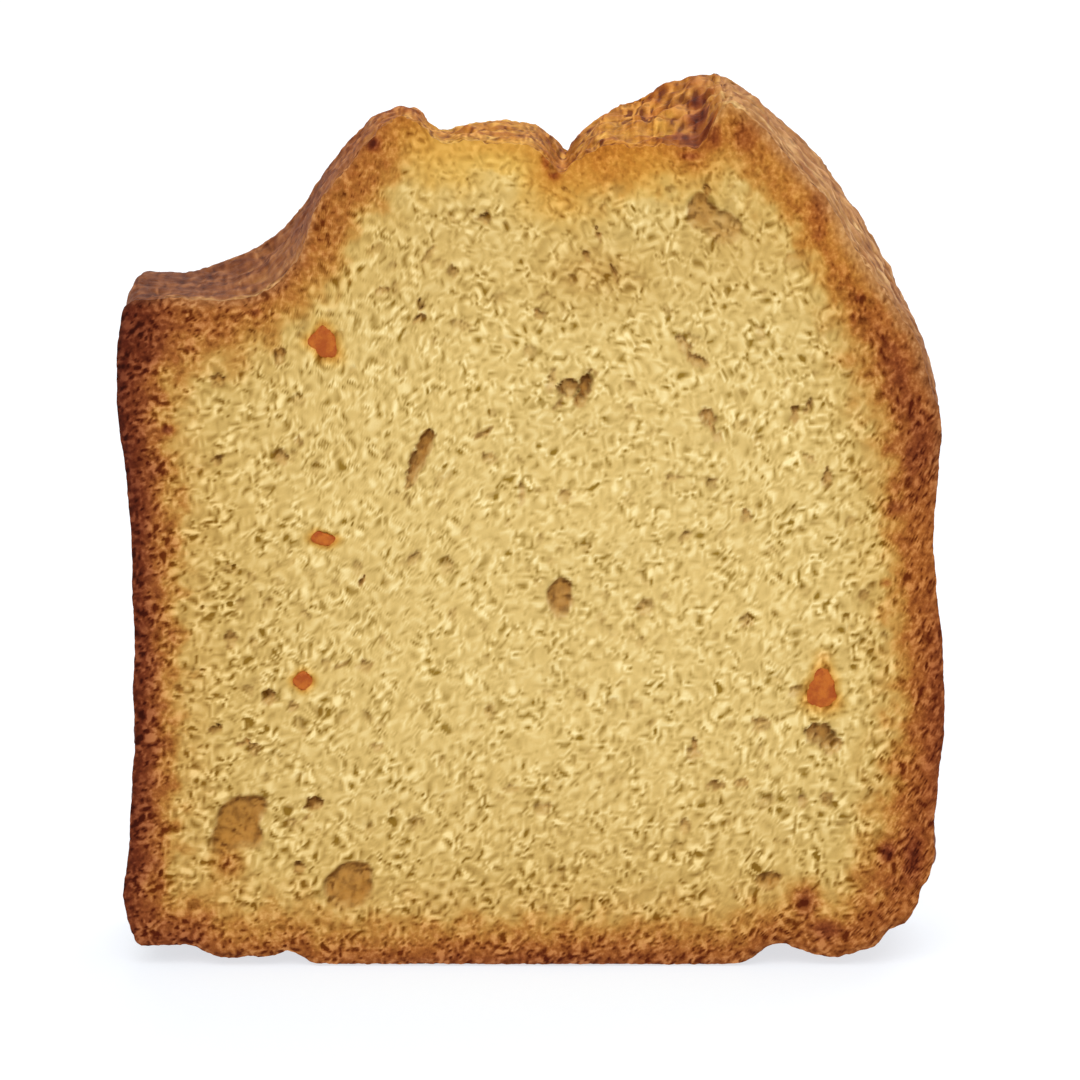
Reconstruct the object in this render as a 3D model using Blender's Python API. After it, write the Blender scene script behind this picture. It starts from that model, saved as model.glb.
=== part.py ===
"""A slice of pound cake, cut straight through a tin loaf and stood on its base.

Seen from the front, the cut face looks along -Y, +X is to the right and +Z is up.
The slice is one solid: a loft of outlines from the front cut to the back cut.
Each outline has four stretches. The base, the right wall and the left wall are
straight lines with soft dents and swellings. The crown is a smooth curve through
named landmarks: a low shelf on the left, the rise to a curled lip, the middle hump,
the split, the craggy right hump, its crest, and the long round right shoulder.
The largest air holes of the crumb are hollowed out of the front cut.
"""

import math

import bmesh
import bpy
from mathutils import Vector, noise

# ---------------------------------------------------------------- driving dimensions
MM = 0.001  # the tables below are in millimetres

SLICE_THICKNESS = 24.0
FRONT = -SLICE_THICKNESS / 2  # the y of the front cut
BACK = SLICE_THICKNESS / 2
BASE_LEFT = -43.6  # where the base meets the left wall
BASE_RIGHT = 40.0  # where the base meets the right wall, whose corner is worn away
LEFT_WALL = -44.2  # mean line of the left wall
RIGHT_WALL = 44.9  # mean line of the right wall
LEFT_TURN = 0.9  # height over which the left wall turns in to its foot
RIGHT_TURN = 2.9
TOP_TURN = 6.0  # height over which a wall runs out into the crown

BASE_POINTS = 56
WALL_POINTS = 34
CROWN_POINTS = 124
CURVE_STEPS = 12  # steps between two landmarks before the curve is evenly spaced
SECTIONS = 11
FOOT_POINTS = 2  # points of a wall that stay where they meet the base

# Lifts of the underside above the table: (place along the base, width, height).
# Between them the base is flat and carries the slice.
FRONT_LIFTS = (
    (-42.8, 3.2, 2.2),
    (-38.0, 2.7, 2.1),
    (-31.2, 3.4, 1.0),
    (-26.8, 1.6, 1.6),
    (27.4, 2.5, 2.5),
    (31.3, 2.8, 1.1),
    (36.8, 2.4, 1.4),
    (41.0, 2.5, 3.8),
)
BACK_LIFTS = (
    (-42.5, 3.2, 1.2),
    (-35.0, 2.6, 0.8),
    (-27.5, 1.8, 0.6),
    (29.5, 2.4, 1.1),
    (36.0, 2.2, 0.7),
    (41.0, 2.8, 2.8),
)
FLAT_LIFT = 0.12  # a lift lower than this is pressed flat

# Swellings (+) and hollows (-) of the walls: (height, width, depth outwards).
LEFT_SWELLS = ((7.5, 6.0, 1.0), (40.0, 13.0, -0.5), (66.0, 8.0, 0.75))
RIGHT_SWELLS = ((15.0, 7.0, 0.3), (31.0, 9.0, 0.6), (46.0, 6.5, -0.9))

# The crown from left to right. Each landmark has its place at the front cut and at the
# back cut: (name, front x, front z, back x, back z).
CROWN = (
    ("left wall top", -44.8, 69.5, -45.2, 70.6),
    ("left corner", -44.1, 74.4, -44.3, 75.3),
    ("shelf", -40.0, 75.0, -40.2, 75.1),
    ("shelf end", -32.5, 74.8, -34.0, 76.6),
    ("foot of the rise", -28.0, 76.5, -29.5, 79.0),
    ("first step", -25.2, 80.0, -26.3, 82.4),
    ("steep side", -24.2, 83.0, -24.4, 85.2),
    ("second step", -22.0, 86.8, -22.3, 88.2),
    ("below the lip", -18.6, 90.7, -19.3, 91.2),
    ("lip outer side", -16.2, 93.7, -16.8, 93.3),
    ("lip top", -13.8, 95.0, -14.4, 94.0),
    ("lip inner side", -11.4, 94.1, -12.2, 93.2),
    ("saddle", -9.6, 92.2, -10.4, 91.2),
    ("middle hump left", -7.0, 92.5, -7.0, 91.8),
    ("middle hump top", -3.4, 92.2, -3.4, 92.5),
    ("middle hump right", 0.2, 91.9, 0.5, 92.0),
    ("split left side", 2.0, 89.7, 2.7, 90.5),
    ("split", 3.2, 88.0, 4.1, 88.8),
    ("split right side", 5.1, 90.0, 5.8, 91.2),
    ("right hump foot", 8.0, 91.8, 8.3, 93.5),
    ("right hump step", 12.0, 91.9, 12.3, 95.0),
    ("right hump top", 15.8, 91.6, 16.4, 96.9),
    ("burnt hollow", 18.5, 91.7, 18.8, 97.3),
    ("crest", 20.8, 96.0, 21.2, 97.6),
    ("crest right side", 23.2, 95.3, 24.3, 96.2),
    ("shoulder start", 27.4, 91.2, 28.7, 92.2),
    ("shoulder", 32.1, 86.2, 33.2, 87.6),
    ("round of the shoulder", 35.0, 80.8, 37.0, 82.4),
    ("shoulder side", 38.6, 75.4, 40.2, 76.4),
    ("shoulder end", 42.4, 70.2, 43.1, 70.4),
    ("right wall top", 44.7, 63.0, 45.8, 63.6),
)

RIPPLE_LENGTH = 7.0  # distance between the crust's larger bumps
RIPPLE_HEIGHT = 0.45
RIPPLE_OCTAVES = 3

# Air holes in the front cut: (name, x, z, half width, half height, depth, tilt in degrees).
HOLES = (
    ("corner_hole", -32.4, 15.4, 2.2, 5.6, 2.6, 14.0),
    ("floor_hole", -20.3, 9.8, 2.3, 2.2, 1.6, 20.0),
    ("comma_hole", 19.8, 82.7, 2.0, 3.6, 2.0, -34.0),
    ("flap_hole", 5.0, 65.0, 2.3, 1.7, 1.7, 0.0),
    ("centre_hole", 3.4, 41.9, 1.4, 2.1, 1.6, 8.0),
    ("slit_hole", -12.0, 57.1, 0.8, 3.3, 1.8, 24.0),
    ("wall_hole", 32.4, 26.0, 2.0, 1.4, 1.6, 0.0),
)
HOLE_SEGMENTS = 14
HOLE_RINGS = 8

CRUMB_COLOUR = (0.72, 0.51, 0.18, 1.0)
CRUMB_ROUGHNESS = 0.85


# ---------------------------------------------------------------- outline
def mix(a, b, t):
    return a + (b - a) * t


def swell(s, features):
    """Sum of soft round bumps, each (place, width, height), at the place s."""
    return sum(h * math.exp(-(((s - c) / w) ** 2)) for c, w, h in features)


def lift(x, t):
    """Height of the underside above the table at x, from the front (t 0) to the back (t 1)."""
    height = mix(swell(x, FRONT_LIFTS), swell(x, BACK_LIFTS), t)
    return max(0.0, height - FLAT_LIFT)


def landmark_curve(points, count):
    """Evenly spaced points on a Catmull-Rom curve through the given points."""
    ends = [points[0] * 2 - points[1]] + points + [points[-1] * 2 - points[-2]]
    fine = []
    for a, b, c, d in zip(ends, ends[1:], ends[2:], ends[3:]):
        for k in range(CURVE_STEPS):
            u = k / CURVE_STEPS
            bend = (2 * a - 5 * b + 4 * c - d) * u * u + (3 * b - a - 3 * c + d) * u ** 3
            fine.append(b + 0.5 * ((c - a) * u + bend))
    fine.append(points[-1])
    lengths = [0.0]
    for p, q in zip(fine, fine[1:]):
        lengths.append(lengths[-1] + (q - p).length)
    curve = []
    k = 0
    for i in range(count):
        goal = lengths[-1] * i / (count - 1)
        while k < len(fine) - 2 and lengths[k + 1] < goal:
            k += 1
        share = (goal - lengths[k]) / (lengths[k + 1] - lengths[k])
        curve.append(fine[k].lerp(fine[k + 1], share))
    return curve


def crown(t):
    """The crown from the right wall to the left wall at depth share t."""
    marks = [Vector((mix(fx, bx, t), mix(fz, bz, t))) for _, fx, fz, bx, bz in CROWN]
    return landmark_curve(marks, CROWN_POINTS)[::-1]


def base(t):
    """The underside from left to right, without its end at the right wall."""
    xs = [mix(BASE_LEFT, BASE_RIGHT, i / BASE_POINTS) for i in range(BASE_POINTS)]
    return [Vector((x, lift(x, t))) for x in xs]


def wall(side, mean, swells, turn, foot, top):
    """One wall from its foot on the base to the crown; side is +1 for right, -1 for left."""
    points = []
    for i in range(WALL_POINTS):
        z = mix(foot.y, top.y, i / WALL_POINTS)
        x = mean + side * swell(z, swells)
        low = math.exp(-(z - foot.y) / turn)
        high = math.exp(-(((z - top.y) / TOP_TURN) ** 2))
        x = mix(mix(x, foot.x, low), top.x, high)
        points.append(Vector((x, z)))
    return points


def outline(t):
    """The closed outline at depth share t, anticlockwise as seen from the front."""
    over = crown(t)
    under = base(t)
    right_foot = Vector((BASE_RIGHT, lift(BASE_RIGHT, t)))
    right = wall(1.0, RIGHT_WALL, RIGHT_SWELLS, RIGHT_TURN, right_foot, over[0])
    left = wall(-1.0, LEFT_WALL, LEFT_SWELLS, LEFT_TURN, under[0], over[-1])
    return under + right + over + left[:0:-1]


def rippled(points, t):
    """The outline with the crust's bumps, pushed along its normals. The base stays flat."""
    count = len(points)
    moved = []
    for i, p in enumerate(points):
        if i < BASE_POINTS + FOOT_POINTS or i >= count - FOOT_POINTS:
            moved.append(p)
            continue
        along = (points[(i + 1) % count] - points[i - 1]).normalized()
        outward = Vector((along.y, -along.x))
        place = Vector((p.x, SLICE_THICKNESS * t, p.y)) / RIPPLE_LENGTH
        height = RIPPLE_HEIGHT * noise.fractal(place, 1.0, 2.0, RIPPLE_OCTAVES)
        moved.append(p + outward * height)
    return moved


# ---------------------------------------------------------------- solids
def clear_scene():
    for obj in list(bpy.data.objects):
        bpy.data.objects.remove(obj, do_unlink=True)


def collection(name):
    made = bpy.data.collections.new(name)
    bpy.context.scene.collection.children.link(made)
    return made


def material(name, colour, roughness):
    made = bpy.data.materials.new(name)
    made.use_nodes = True
    shader = made.node_tree.nodes["Principled BSDF"]
    shader.inputs["Base Color"].default_value = colour
    shader.inputs["Roughness"].default_value = roughness
    shader.inputs["Metallic"].default_value = 0.0
    made.diffuse_color = colour
    return made


def loft(name, rings):
    """A closed solid through the rings, each a list of (x, y, z) in metres, front to back."""
    bm = bmesh.new()
    rows = [[bm.verts.new(p) for p in ring] for ring in rings]
    count = len(rows[0])
    bm.faces.new(rows[0])
    bm.faces.new(rows[-1][::-1])
    for near, far in zip(rows, rows[1:]):
        for i in range(count):
            j = (i + 1) % count
            bm.faces.new((near[i], far[i], far[j], near[j]))
    mesh = bpy.data.meshes.new(name)
    bm.to_mesh(mesh)
    bm.free()
    return bpy.data.objects.new(name, mesh)


def slice_rings():
    """The slice's outlines in metres, centred over the origin, and the x that was centred."""
    shares = [k / (SECTIONS - 1) for k in range(SECTIONS)]
    outlines = [rippled(outline(t), t) for t in shares]
    xs = [p.x for ring in outlines for p in ring]
    middle = (min(xs) + max(xs)) / 2
    rings = []
    for t, ring in zip(shares, outlines):
        y = mix(FRONT, BACK, t)
        rings.append([((p.x - middle) * MM, y * MM, p.y * MM) for p in ring])
    return rings, middle


def hole_cutter(name, x, z, half_width, half_height, depth, tilt, middle):
    """A flattened ball whose middle lies on the front cut, so that half of it digs in."""
    bm = bmesh.new()
    bmesh.ops.create_uvsphere(bm, u_segments=HOLE_SEGMENTS, v_segments=HOLE_RINGS, radius=1.0)
    mesh = bpy.data.meshes.new(name)
    bm.to_mesh(mesh)
    bm.free()
    cutter = bpy.data.objects.new(name, mesh)
    cutter.scale = (half_width * MM, depth * MM, half_height * MM)
    cutter.rotation_euler = (0.0, math.radians(tilt), 0.0)
    cutter.location = ((x - middle) * MM, FRONT * MM, z * MM)
    cutter.hide_render = True
    cutter.display_type = "WIRE"
    return cutter


def build():
    clear_scene()
    cake = collection("pound_cake_slice")
    tools = collection("hole_cutters")

    rings, middle = slice_rings()
    body = loft("cake_slice", rings)
    body.data.materials.append(material("crumb", CRUMB_COLOUR, CRUMB_ROUGHNESS))
    cake.objects.link(body)

    for hole in HOLES:
        cutter = hole_cutter(*hole, middle)
        tools.objects.link(cutter)
        cut = body.modifiers.new(hole[0], "BOOLEAN")
        cut.operation = "DIFFERENCE"
        cut.solver = "EXACT"
        cut.object = cutter


build()
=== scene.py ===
"""Pound cake slice: the looks of its two cuts, its crust and its candied peel.

The packed solid gives the outline at each depth. Three closed pieces take its place:
the front cut, the back cut and the outer crust, which meet along the two cut edges.
Their fine shape is relief worked out on grids: air holes, crumb grain, crust bumps.
"""

import math

import bpy
import numpy as np
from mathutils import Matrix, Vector


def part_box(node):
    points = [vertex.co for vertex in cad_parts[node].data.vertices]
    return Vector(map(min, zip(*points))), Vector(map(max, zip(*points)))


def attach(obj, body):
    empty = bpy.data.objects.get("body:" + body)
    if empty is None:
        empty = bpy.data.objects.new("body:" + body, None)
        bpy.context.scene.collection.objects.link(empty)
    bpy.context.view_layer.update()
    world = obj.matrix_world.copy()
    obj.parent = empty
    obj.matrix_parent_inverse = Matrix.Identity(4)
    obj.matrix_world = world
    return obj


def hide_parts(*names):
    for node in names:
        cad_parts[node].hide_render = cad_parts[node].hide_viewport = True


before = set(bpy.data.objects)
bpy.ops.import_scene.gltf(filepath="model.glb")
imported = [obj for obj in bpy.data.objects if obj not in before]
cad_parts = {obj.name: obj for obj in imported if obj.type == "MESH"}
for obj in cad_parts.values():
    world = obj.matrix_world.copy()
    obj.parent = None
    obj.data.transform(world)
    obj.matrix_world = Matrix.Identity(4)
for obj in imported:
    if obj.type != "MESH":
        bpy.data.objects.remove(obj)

bl_info = {
    "name": "Pound Cake Slice",
    "version": (1, 0, 0),
    "blender": (4, 5, 0),
    "location": "View3D > Sidebar > Cake",
    "description": "Dresses a pound cake slice with crumb, crust and candied peel",
    "category": "Object",
}

NODE = "cake_slice"
BODY = "root"
MM = 0.001

LOW, HIGH = (np.array(corner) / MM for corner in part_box(NODE))
FRONT, BACK = LOW[1], HIGH[1]
THICKNESS = BACK - FRONT
MIDDLE = np.array([(LOW[0] + HIGH[0]) / 2, LOW[2] + 0.47 * (HIGH[2] - LOW[2])])

ACROSS = 312  # cells of each cut's grid along the base and the crown
UPWARD = 308  # and along the two walls
CRUST_ROWS = 60  # rows of points from the front cut to the back cut
SHARP_EDGE = math.radians(70.0)

# ---------------------------------------------------------------- what varies round the rim
# Places on the rim, anticlockwise from the middle of the base, as seen from the front.
# Each has: x and z in millimetres; how browned the cut is at its edge, at 3 mm and at
# 6 mm from it; how golden instead of brown; how dark the outer crust is at the front
# and at the back; how ashen it is, its grey partly a painted sheen; how lumpy; how far it laps onto the
# cut, in millimetres.
RIM_PLACES = (
    ("base middle", 0.0, 0.0, 0.68, 0.44, 0.14, 0.10, 0.70, 0.72, 0.1, 0.3, 0.4),
    ("base right", 27.0, 2.5, 0.58, 0.41, 0.16, 0.10, 0.70, 0.72, 0.1, 0.3, 0.4),
    ("worn corner", 37.0, 2.0, 0.58, 0.58, 0.20, 0.20, 0.70, 0.76, 0.1, 0.5, 0.4),
    ("right wall foot", 44.0, 9.0, 0.58, 0.58, 0.31, 0.30, 0.74, 0.78, 0.1, 0.3, 0.4),
    ("right wall low", 45.2, 28.0, 0.80, 0.56, 0.20, 0.30, 0.76, 0.76, 0.1, 0.15, 0.4),
    ("right wall hollow", 44.1, 48.0, 0.58, 0.53, 0.14, 0.35, 0.66, 0.70, 0.1, 0.15, 0.4),
    ("right wall high", 44.8, 59.0, 0.68, 0.74, 0.31, 0.20, 0.66, 0.60, 0.5, 0.15, 0.8),
    ("shoulder end", 42.6, 70.0, 0.48, 0.70, 0.39, 0.35, 0.48, 0.48, 0.7, 0.3, 1.0),
    ("shoulder round", 35.4, 81.0, 0.33, 0.48, 0.12, 0.70, 0.36, 0.42, 0.6, 0.35, 1.2),
    ("shoulder start", 27.6, 91.0, 0.40, 0.42, 0.10, 0.65, 0.33, 0.42, 0.6, 0.4, 1.0),
    ("crest", 21.4, 96.2, 0.36, 0.50, 0.27, 0.50, 0.34, 0.42, 0.4, 0.6, 1.0),
    ("burnt hollow", 18.6, 91.8, 0.49, 0.24, 0.08, 0.55, 0.38, 0.42, 0.0, 0.8, 0.4),
    ("right hump", 12.0, 92.0, 0.36, 0.22, 0.00, 1.00, 0.38, 0.46, 0.0, 0.9, 0.4),
    ("right hump foot", 8.0, 91.8, 0.43, 0.42, 0.17, 1.00, 0.34, 0.38, 0.0, 0.8, 0.4),
    ("split", 3.2, 88.0, 0.32, 0.19, 0.10, 0.80, 0.42, 0.40, 0.0, 0.5, 0.6),
    ("middle hump", -3.4, 92.2, 0.22, 0.00, 0.00, 0.90, 0.35, 0.36, 0.0, 0.6, 1.2),
    ("saddle", -9.6, 92.2, 0.18, 0.13, 0.06, 0.85, 0.29, 0.31, 0.0, 0.6, 1.0),
    ("lip", -13.8, 95.0, 0.44, 0.33, 0.17, 0.65, 0.42, 0.52, 0.0, 0.7, 1.2),
    ("below the lip", -18.6, 90.7, 0.50, 0.46, 0.14, 0.35, 0.58, 0.64, 0.2, 0.4, 0.5),
    ("steep side", -24.3, 83.0, 0.49, 0.47, 0.08, 0.25, 0.62, 0.72, 0.4, 0.3, 0.6),
    ("foot of the rise", -28.0, 76.5, 0.53, 0.32, 0.07, 0.20, 0.54, 0.68, 0.5, 0.3, 0.8),
    ("shelf", -37.0, 74.9, 0.49, 0.56, 0.36, 0.10, 0.70, 0.78, 0.55, 0.3, 0.8),
    ("left corner", -44.0, 74.2, 1.00, 0.94, 0.72, 0.00, 0.78, 0.76, 0.5, 0.2, 0.4),
    ("left wall high", -44.8, 62.0, 1.00, 0.63, 0.22, 0.00, 0.90, 0.84, 0.2, 0.12, 0.4),
    ("left wall middle", -43.7, 38.0, 0.92, 0.51, 0.08, 0.00, 0.84, 0.84, 0.1, 0.12, 0.4),
    ("left wall low", -45.0, 10.0, 0.92, 0.54, 0.14, 0.00, 0.86, 0.84, 0.1, 0.12, 0.4),
    ("left foot", -42.0, 2.2, 0.74, 0.60, 0.24, 0.05, 0.80, 0.82, 0.1, 0.4, 0.4),
    ("base left", -31.0, 1.0, 0.55, 0.37, 0.18, 0.10, 0.70, 0.74, 0.1, 0.4, 0.4),
)

# Large air holes of the front cut: x, z, half width, half height, depth, tilt in degrees,
# and how brown they are inside, from 0 for crumb to 1, partly the walls' own colour and
# partly painted shade. The first few are no ellipses and have instead: x, z, the reach in
# eight directions anticlockwise from the right, depth and how brown.
FRONT_HOLES = (
    (-32.5, 16.2, (2.1, 4.1, 3.3, 2.9, 2.7, 4.5, 2.9, 3.5), 1.4, 1.0),
    (-20.3, 9.6, (2.5, 2.9, 2.4, 2.2, 2.9, 3.5, 3.0, 2.9), 1.2, 0.95),
    (18.1, 84.5, (1.9, 1.4, 2.0, 1.5, 1.35, 1.8, 2.1, 2.2), 1.1, 0.8),
    (20.7, 82.8, (2.1, 1.5, 1.7, 2.1, 2.6, 1.9, 2.1, 2.2), 1.0, 0.6),
    (3.0, 42.3, (1.25, 1.7, 1.8, 1.4, 1.6, 1.9, 2.9, 1.9), 1.1, 0.95),
    (18.8, 86.8, 0.35, 0.6, 0.8, -30.0, 0.8),
    (2.0, 65.8, 0.5, 1.5, 0.5, 8.0, 0.4),
    (3.9, 65.1, 1.15, 1.1, 1.2, -10.0, 0.85),
    (5.75, 65.2, 0.65, 1.7, 1.4, 12.0, 1.0),
    (5.2, 63.7, 0.6, 1.0, 1.0, 12.0, 0.8),
    (6.6, 66.8, 0.3, 0.5, 0.6, -40.0, 0.7),
    (2.9, 63.5, 0.3, 1.0, 0.8, 32.0, 0.8),
    (-11.7, 58.8, 0.9, 1.7, 1.4, 22.0, 1.0),
    (-12.6, 56.8, 0.85, 2.1, 1.3, 18.0, 0.95),
    (-13.4, 54.8, 0.45, 1.3, 0.8, 22.0, 0.8),
    (31.6, 26.5, 1.5, 1.2, 1.5, 0.0, 0.9),
    (32.8, 25.4, 1.3, 1.2, 1.4, 0.0, 0.75),
    (16.4, 69.9, 0.7, 1.3, 0.9, -34.0, 0.55),
    (18.0, 68.0, 0.7, 1.3, 0.9, -60.0, 0.75),
    (19.0, 62.0, 0.85, 1.2, 1.1, -16.0, 0.75),
    (19.9, 60.2, 0.6, 1.1, 0.8, -20.0, 0.6),
    (28.6, 62.3, 0.5, 1.1, 1.0, 10.0, 0.8),
    (30.0, 63.0, 0.35, 0.8, 0.8, 20.0, 0.7),
    (30.2, 57.3, 0.35, 1.2, 0.6, -50.0, 0.5),
    (32.2, 55.0, 0.5, 1.2, 0.9, 0.0, 0.7),
    (23.3, 51.0, 0.6, 0.8, 0.9, -20.0, 0.6),
    (16.6, 48.6, 0.6, 0.7, 0.8, 40.0, 0.5),
    (15.4, 55.3, 1.0, 0.5, 0.8, 0.0, 0.6),
    (19.6, 54.5, 0.6, 0.6, 0.8, 0.0, 0.5),
    (36.2, 42.0, 0.7, 0.9, 0.5, 0.0, 0.5),
    (23.5, 39.2, 0.9, 0.8, 0.5, 0.0, 0.5),
    (-5.4, 60.1, 0.35, 1.2, 1.0, 55.0, 0.9),
    (-4.8, 57.3, 1.0, 0.6, 0.5, 0.0, 0.5),
    (-1.2, 53.4, 0.4, 1.4, 0.6, 0.0, 0.5),
    (3.5, 53.1, 0.9, 0.7, 0.5, 0.0, 0.45),
    (12.3, 40.7, 1.0, 0.9, 0.8, 0.0, 0.5),
    (-13.0, 46.2, 0.5, 1.0, 0.6, 50.0, 0.5),
    (-18.8, 43.5, 0.3, 0.9, 0.8, 20.0, 0.8),
    (-33.2, 37.1, 0.9, 0.9, 0.5, 0.0, 0.6),
    (-34.3, 65.9, 0.8, 0.8, 0.7, 0.0, 0.6),
    (-27.6, 68.5, 0.7, 1.0, 0.9, 10.0, 0.7),
    (-34.5, 57.0, 0.8, 0.6, 0.8, 0.0, 0.7),
    (-27.5, 57.4, 1.0, 0.8, 0.8, 20.0, 0.6),
    (-25.5, 59.3, 0.5, 0.5, 0.7, 0.0, 0.6),
    (-24.2, 18.5, 1.0, 0.8, 1.2, 0.0, 1.0),
    (-25.0, 17.1, 0.3, 0.8, 0.6, 45.0, 0.6),
    (-26.0, 11.4, 0.8, 0.6, 0.9, 0.0, 0.9),
    (-29.0, 30.6, 0.9, 0.8, 1.1, 0.0, 0.8),
    (-26.3, 29.7, 0.7, 0.5, 0.8, 0.0, 0.7),
    (-35.0, 27.1, 0.4, 0.9, 0.8, 60.0, 0.8),
    (-32.0, 25.6, 0.35, 0.9, 0.8, 60.0, 0.8),
    (-30.8, 24.9, 0.8, 0.8, 0.7, 0.0, 0.6),
    (-18.4, 34.2, 1.0, 0.7, 0.6, 0.0, 0.6),
    (-21.0, 34.3, 0.3, 0.9, 0.7, 70.0, 0.6),
    (-17.0, 25.1, 0.9, 0.4, 0.7, 0.0, 0.5),
    (26.2, 9.8, 1.3, 1.1, 1.0, 0.0, 0.8),
    (17.6, 24.3, 0.8, 0.7, 0.8, 0.0, 0.6),
    (17.9, 25.4, 0.3, 0.6, 0.8, 0.0, 0.7),
    (20.2, 20.7, 0.9, 0.6, 0.9, 0.0, 0.8),
    (22.9, 21.1, 0.9, 0.5, 0.6, 0.0, 0.8),
    (25.1, 27.6, 1.2, 0.8, 0.6, 0.0, 0.6),
    (25.8, 18.9, 0.9, 0.9, 0.4, 0.0, 0.3),
    (29.7, 19.0, 0.6, 0.8, 0.8, 0.0, 0.6),
    (32.3, 19.2, 0.8, 0.8, 0.5, 0.0, 0.55),
    (16.7, 16.0, 0.7, 0.9, 0.7, 0.0, 0.5),
    (29.1, 31.3, 0.8, 0.7, 0.3, 0.0, 0.6),
    (28.8, 79.2, 1.6, 1.0, 0.4, 0.0, 0.45),
    (1.0, 18.1, 1.0, 0.8, 0.6, 0.0, 0.45),
    (-2.4, 20.3, 1.3, 0.4, 0.6, 0.0, 0.4),
    (-5.2, 83.6, 0.8, 0.6, 0.9, 0.0, 0.7),
    (-11.4, 79.6, 0.4, 1.3, 0.5, 40.0, 0.4),
    (-8.7, 77.7, 0.6, 0.7, 0.7, 0.0, 0.5),
    (2.3, 89.0, 0.6, 0.7, 0.7, -20.0, 0.8),
    (3.5, 86.9, 0.4, 0.5, 0.8, 0.0, 0.9),
    (7.1, 81.7, 0.3, 0.9, 0.7, -14.0, 0.8),
    (5.8, 79.6, 0.35, 0.6, 0.8, -20.0, 0.8),
    (8.9, 77.5, 0.3, 1.1, 0.7, -20.0, 0.5),
    (0.8, 73.2, 0.7, 0.5, 0.8, 0.0, 0.7),
    (-12.3, 72.6, 0.8, 0.5, 0.9, 0.0, 0.8),
    (-16.3, 75.7, 0.9, 0.5, 0.7, 0.0, 0.6),
    (-12.2, 74.3, 0.45, 0.5, 0.9, 0.0, 0.6),
    (-8.0, 72.1, 1.2, 0.5, 0.5, 0.0, 0.4),
)

# Large air holes of the back cut, in the same terms.
BACK_HOLES = (
    (28.4, 21.0, 2.0, 2.6, 1.9, -18.0, 1.0),
    (29.0, 17.8, 1.6, 2.0, 1.0, -10.0, 0.6),
    (-18.0, 52.0, 1.4, 2.6, 1.7, 25.0, 0.9),
    (9.6, 70.0, 2.4, 1.5, 1.6, 12.0, 0.9),
    (11.6, 68.6, 1.3, 1.2, 1.0, 0.0, 0.6),
    (-30.6, 34.0, 1.4, 1.7, 1.4, 0.0, 0.8),
    (16.6, 44.0, 0.7, 2.8, 1.4, -32.0, 0.9),
    (-8.0, 22.0, 1.9, 1.3, 1.4, 0.0, 0.9),
    (-14.0, 84.0, 1.5, 1.0, 1.2, 20.0, 0.7),
    (33.0, 58.0, 1.1, 1.6, 1.2, 0.0, 0.7),
    (2.0, 12.0, 1.2, 0.9, 1.1, 0.0, 0.7),
    (22.0, 33.0, 0.9, 0.6, 0.8, 0.0, 0.6),
    (-3.0, 58.0, 0.5, 1.3, 0.9, 40.0, 0.7),
    (-24.0, 70.0, 0.8, 0.8, 0.7, 0.0, 0.6),
    (-34.0, 14.0, 1.0, 0.8, 0.8, 0.0, 0.7),
    (20.0, 82.0, 1.1, 0.7, 0.8, 30.0, 0.7),
)

# Patches of the front cut that are darker in tone: x, z, half width, half height, heat.
WARM_PATCHES = (
    (-44.0, 34.0, 17.0, 60.0, 0.17),
    (0.0, 0.0, 80.0, 18.0, 0.15),
    (7.0, 77.6, 9.0, 4.5, 0.17),
    (22.0, 81.0, 8.0, 6.0, 0.13),
    (-12.0, 81.0, 14.0, 9.0, 0.08),
    (44.0, 14.0, 12.0, 26.0, 0.06),
    (1.5, 90.0, 0.7, 1.3, 0.60),
    (2.3, 88.4, 0.7, 0.7, 0.70),
    (16.6, 92.6, 1.0, 0.5, 0.75),
    (22.9, 92.6, 2.0, 2.4, 0.45),
    (31.0, 84.6, 1.4, 2.8, 0.45),
    (30.3, 7.6, 1.8, 2.2, 0.66),
    (32.6, 4.4, 1.9, 1.5, 0.66),
    (38.8, 11.1, 3.4, 4.4, 0.32),
    (39.3, 13.2, 1.1, 1.4, 0.80),
    (42.2, 12.6, 1.2, 3.4, 0.72),
    (36.4, 10.5, 1.8, 1.2, 0.34),
    (-33.9, 11.8, 2.1, 2.4, 0.42),
    (32.0, 35.2, 1.2, 0.9, 0.24),
    (39.6, 51.8, 1.5, 1.2, 0.55),
    (38.9, 43.5, 0.8, 0.5, 0.50),
    (35.3, 75.0, 0.9, 0.4, 0.55),
    (31.0, 81.8, 0.7, 0.6, 0.50),
    (-39.9, 60.5, 0.9, 0.6, 0.70),
    (-17.2, 91.7, 0.8, 0.8, 0.95),
    (-30.1, 73.5, 0.8, 0.6, 0.50),
    (19.6, 92.4, 0.9, 1.5, 0.60),
    (17.0, 90.4, 1.2, 0.5, 0.60),
    (40.4, 67.0, 2.2, 2.6, 0.30),
    (42.0, 58.6, 1.8, 3.2, 0.30),
)

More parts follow.
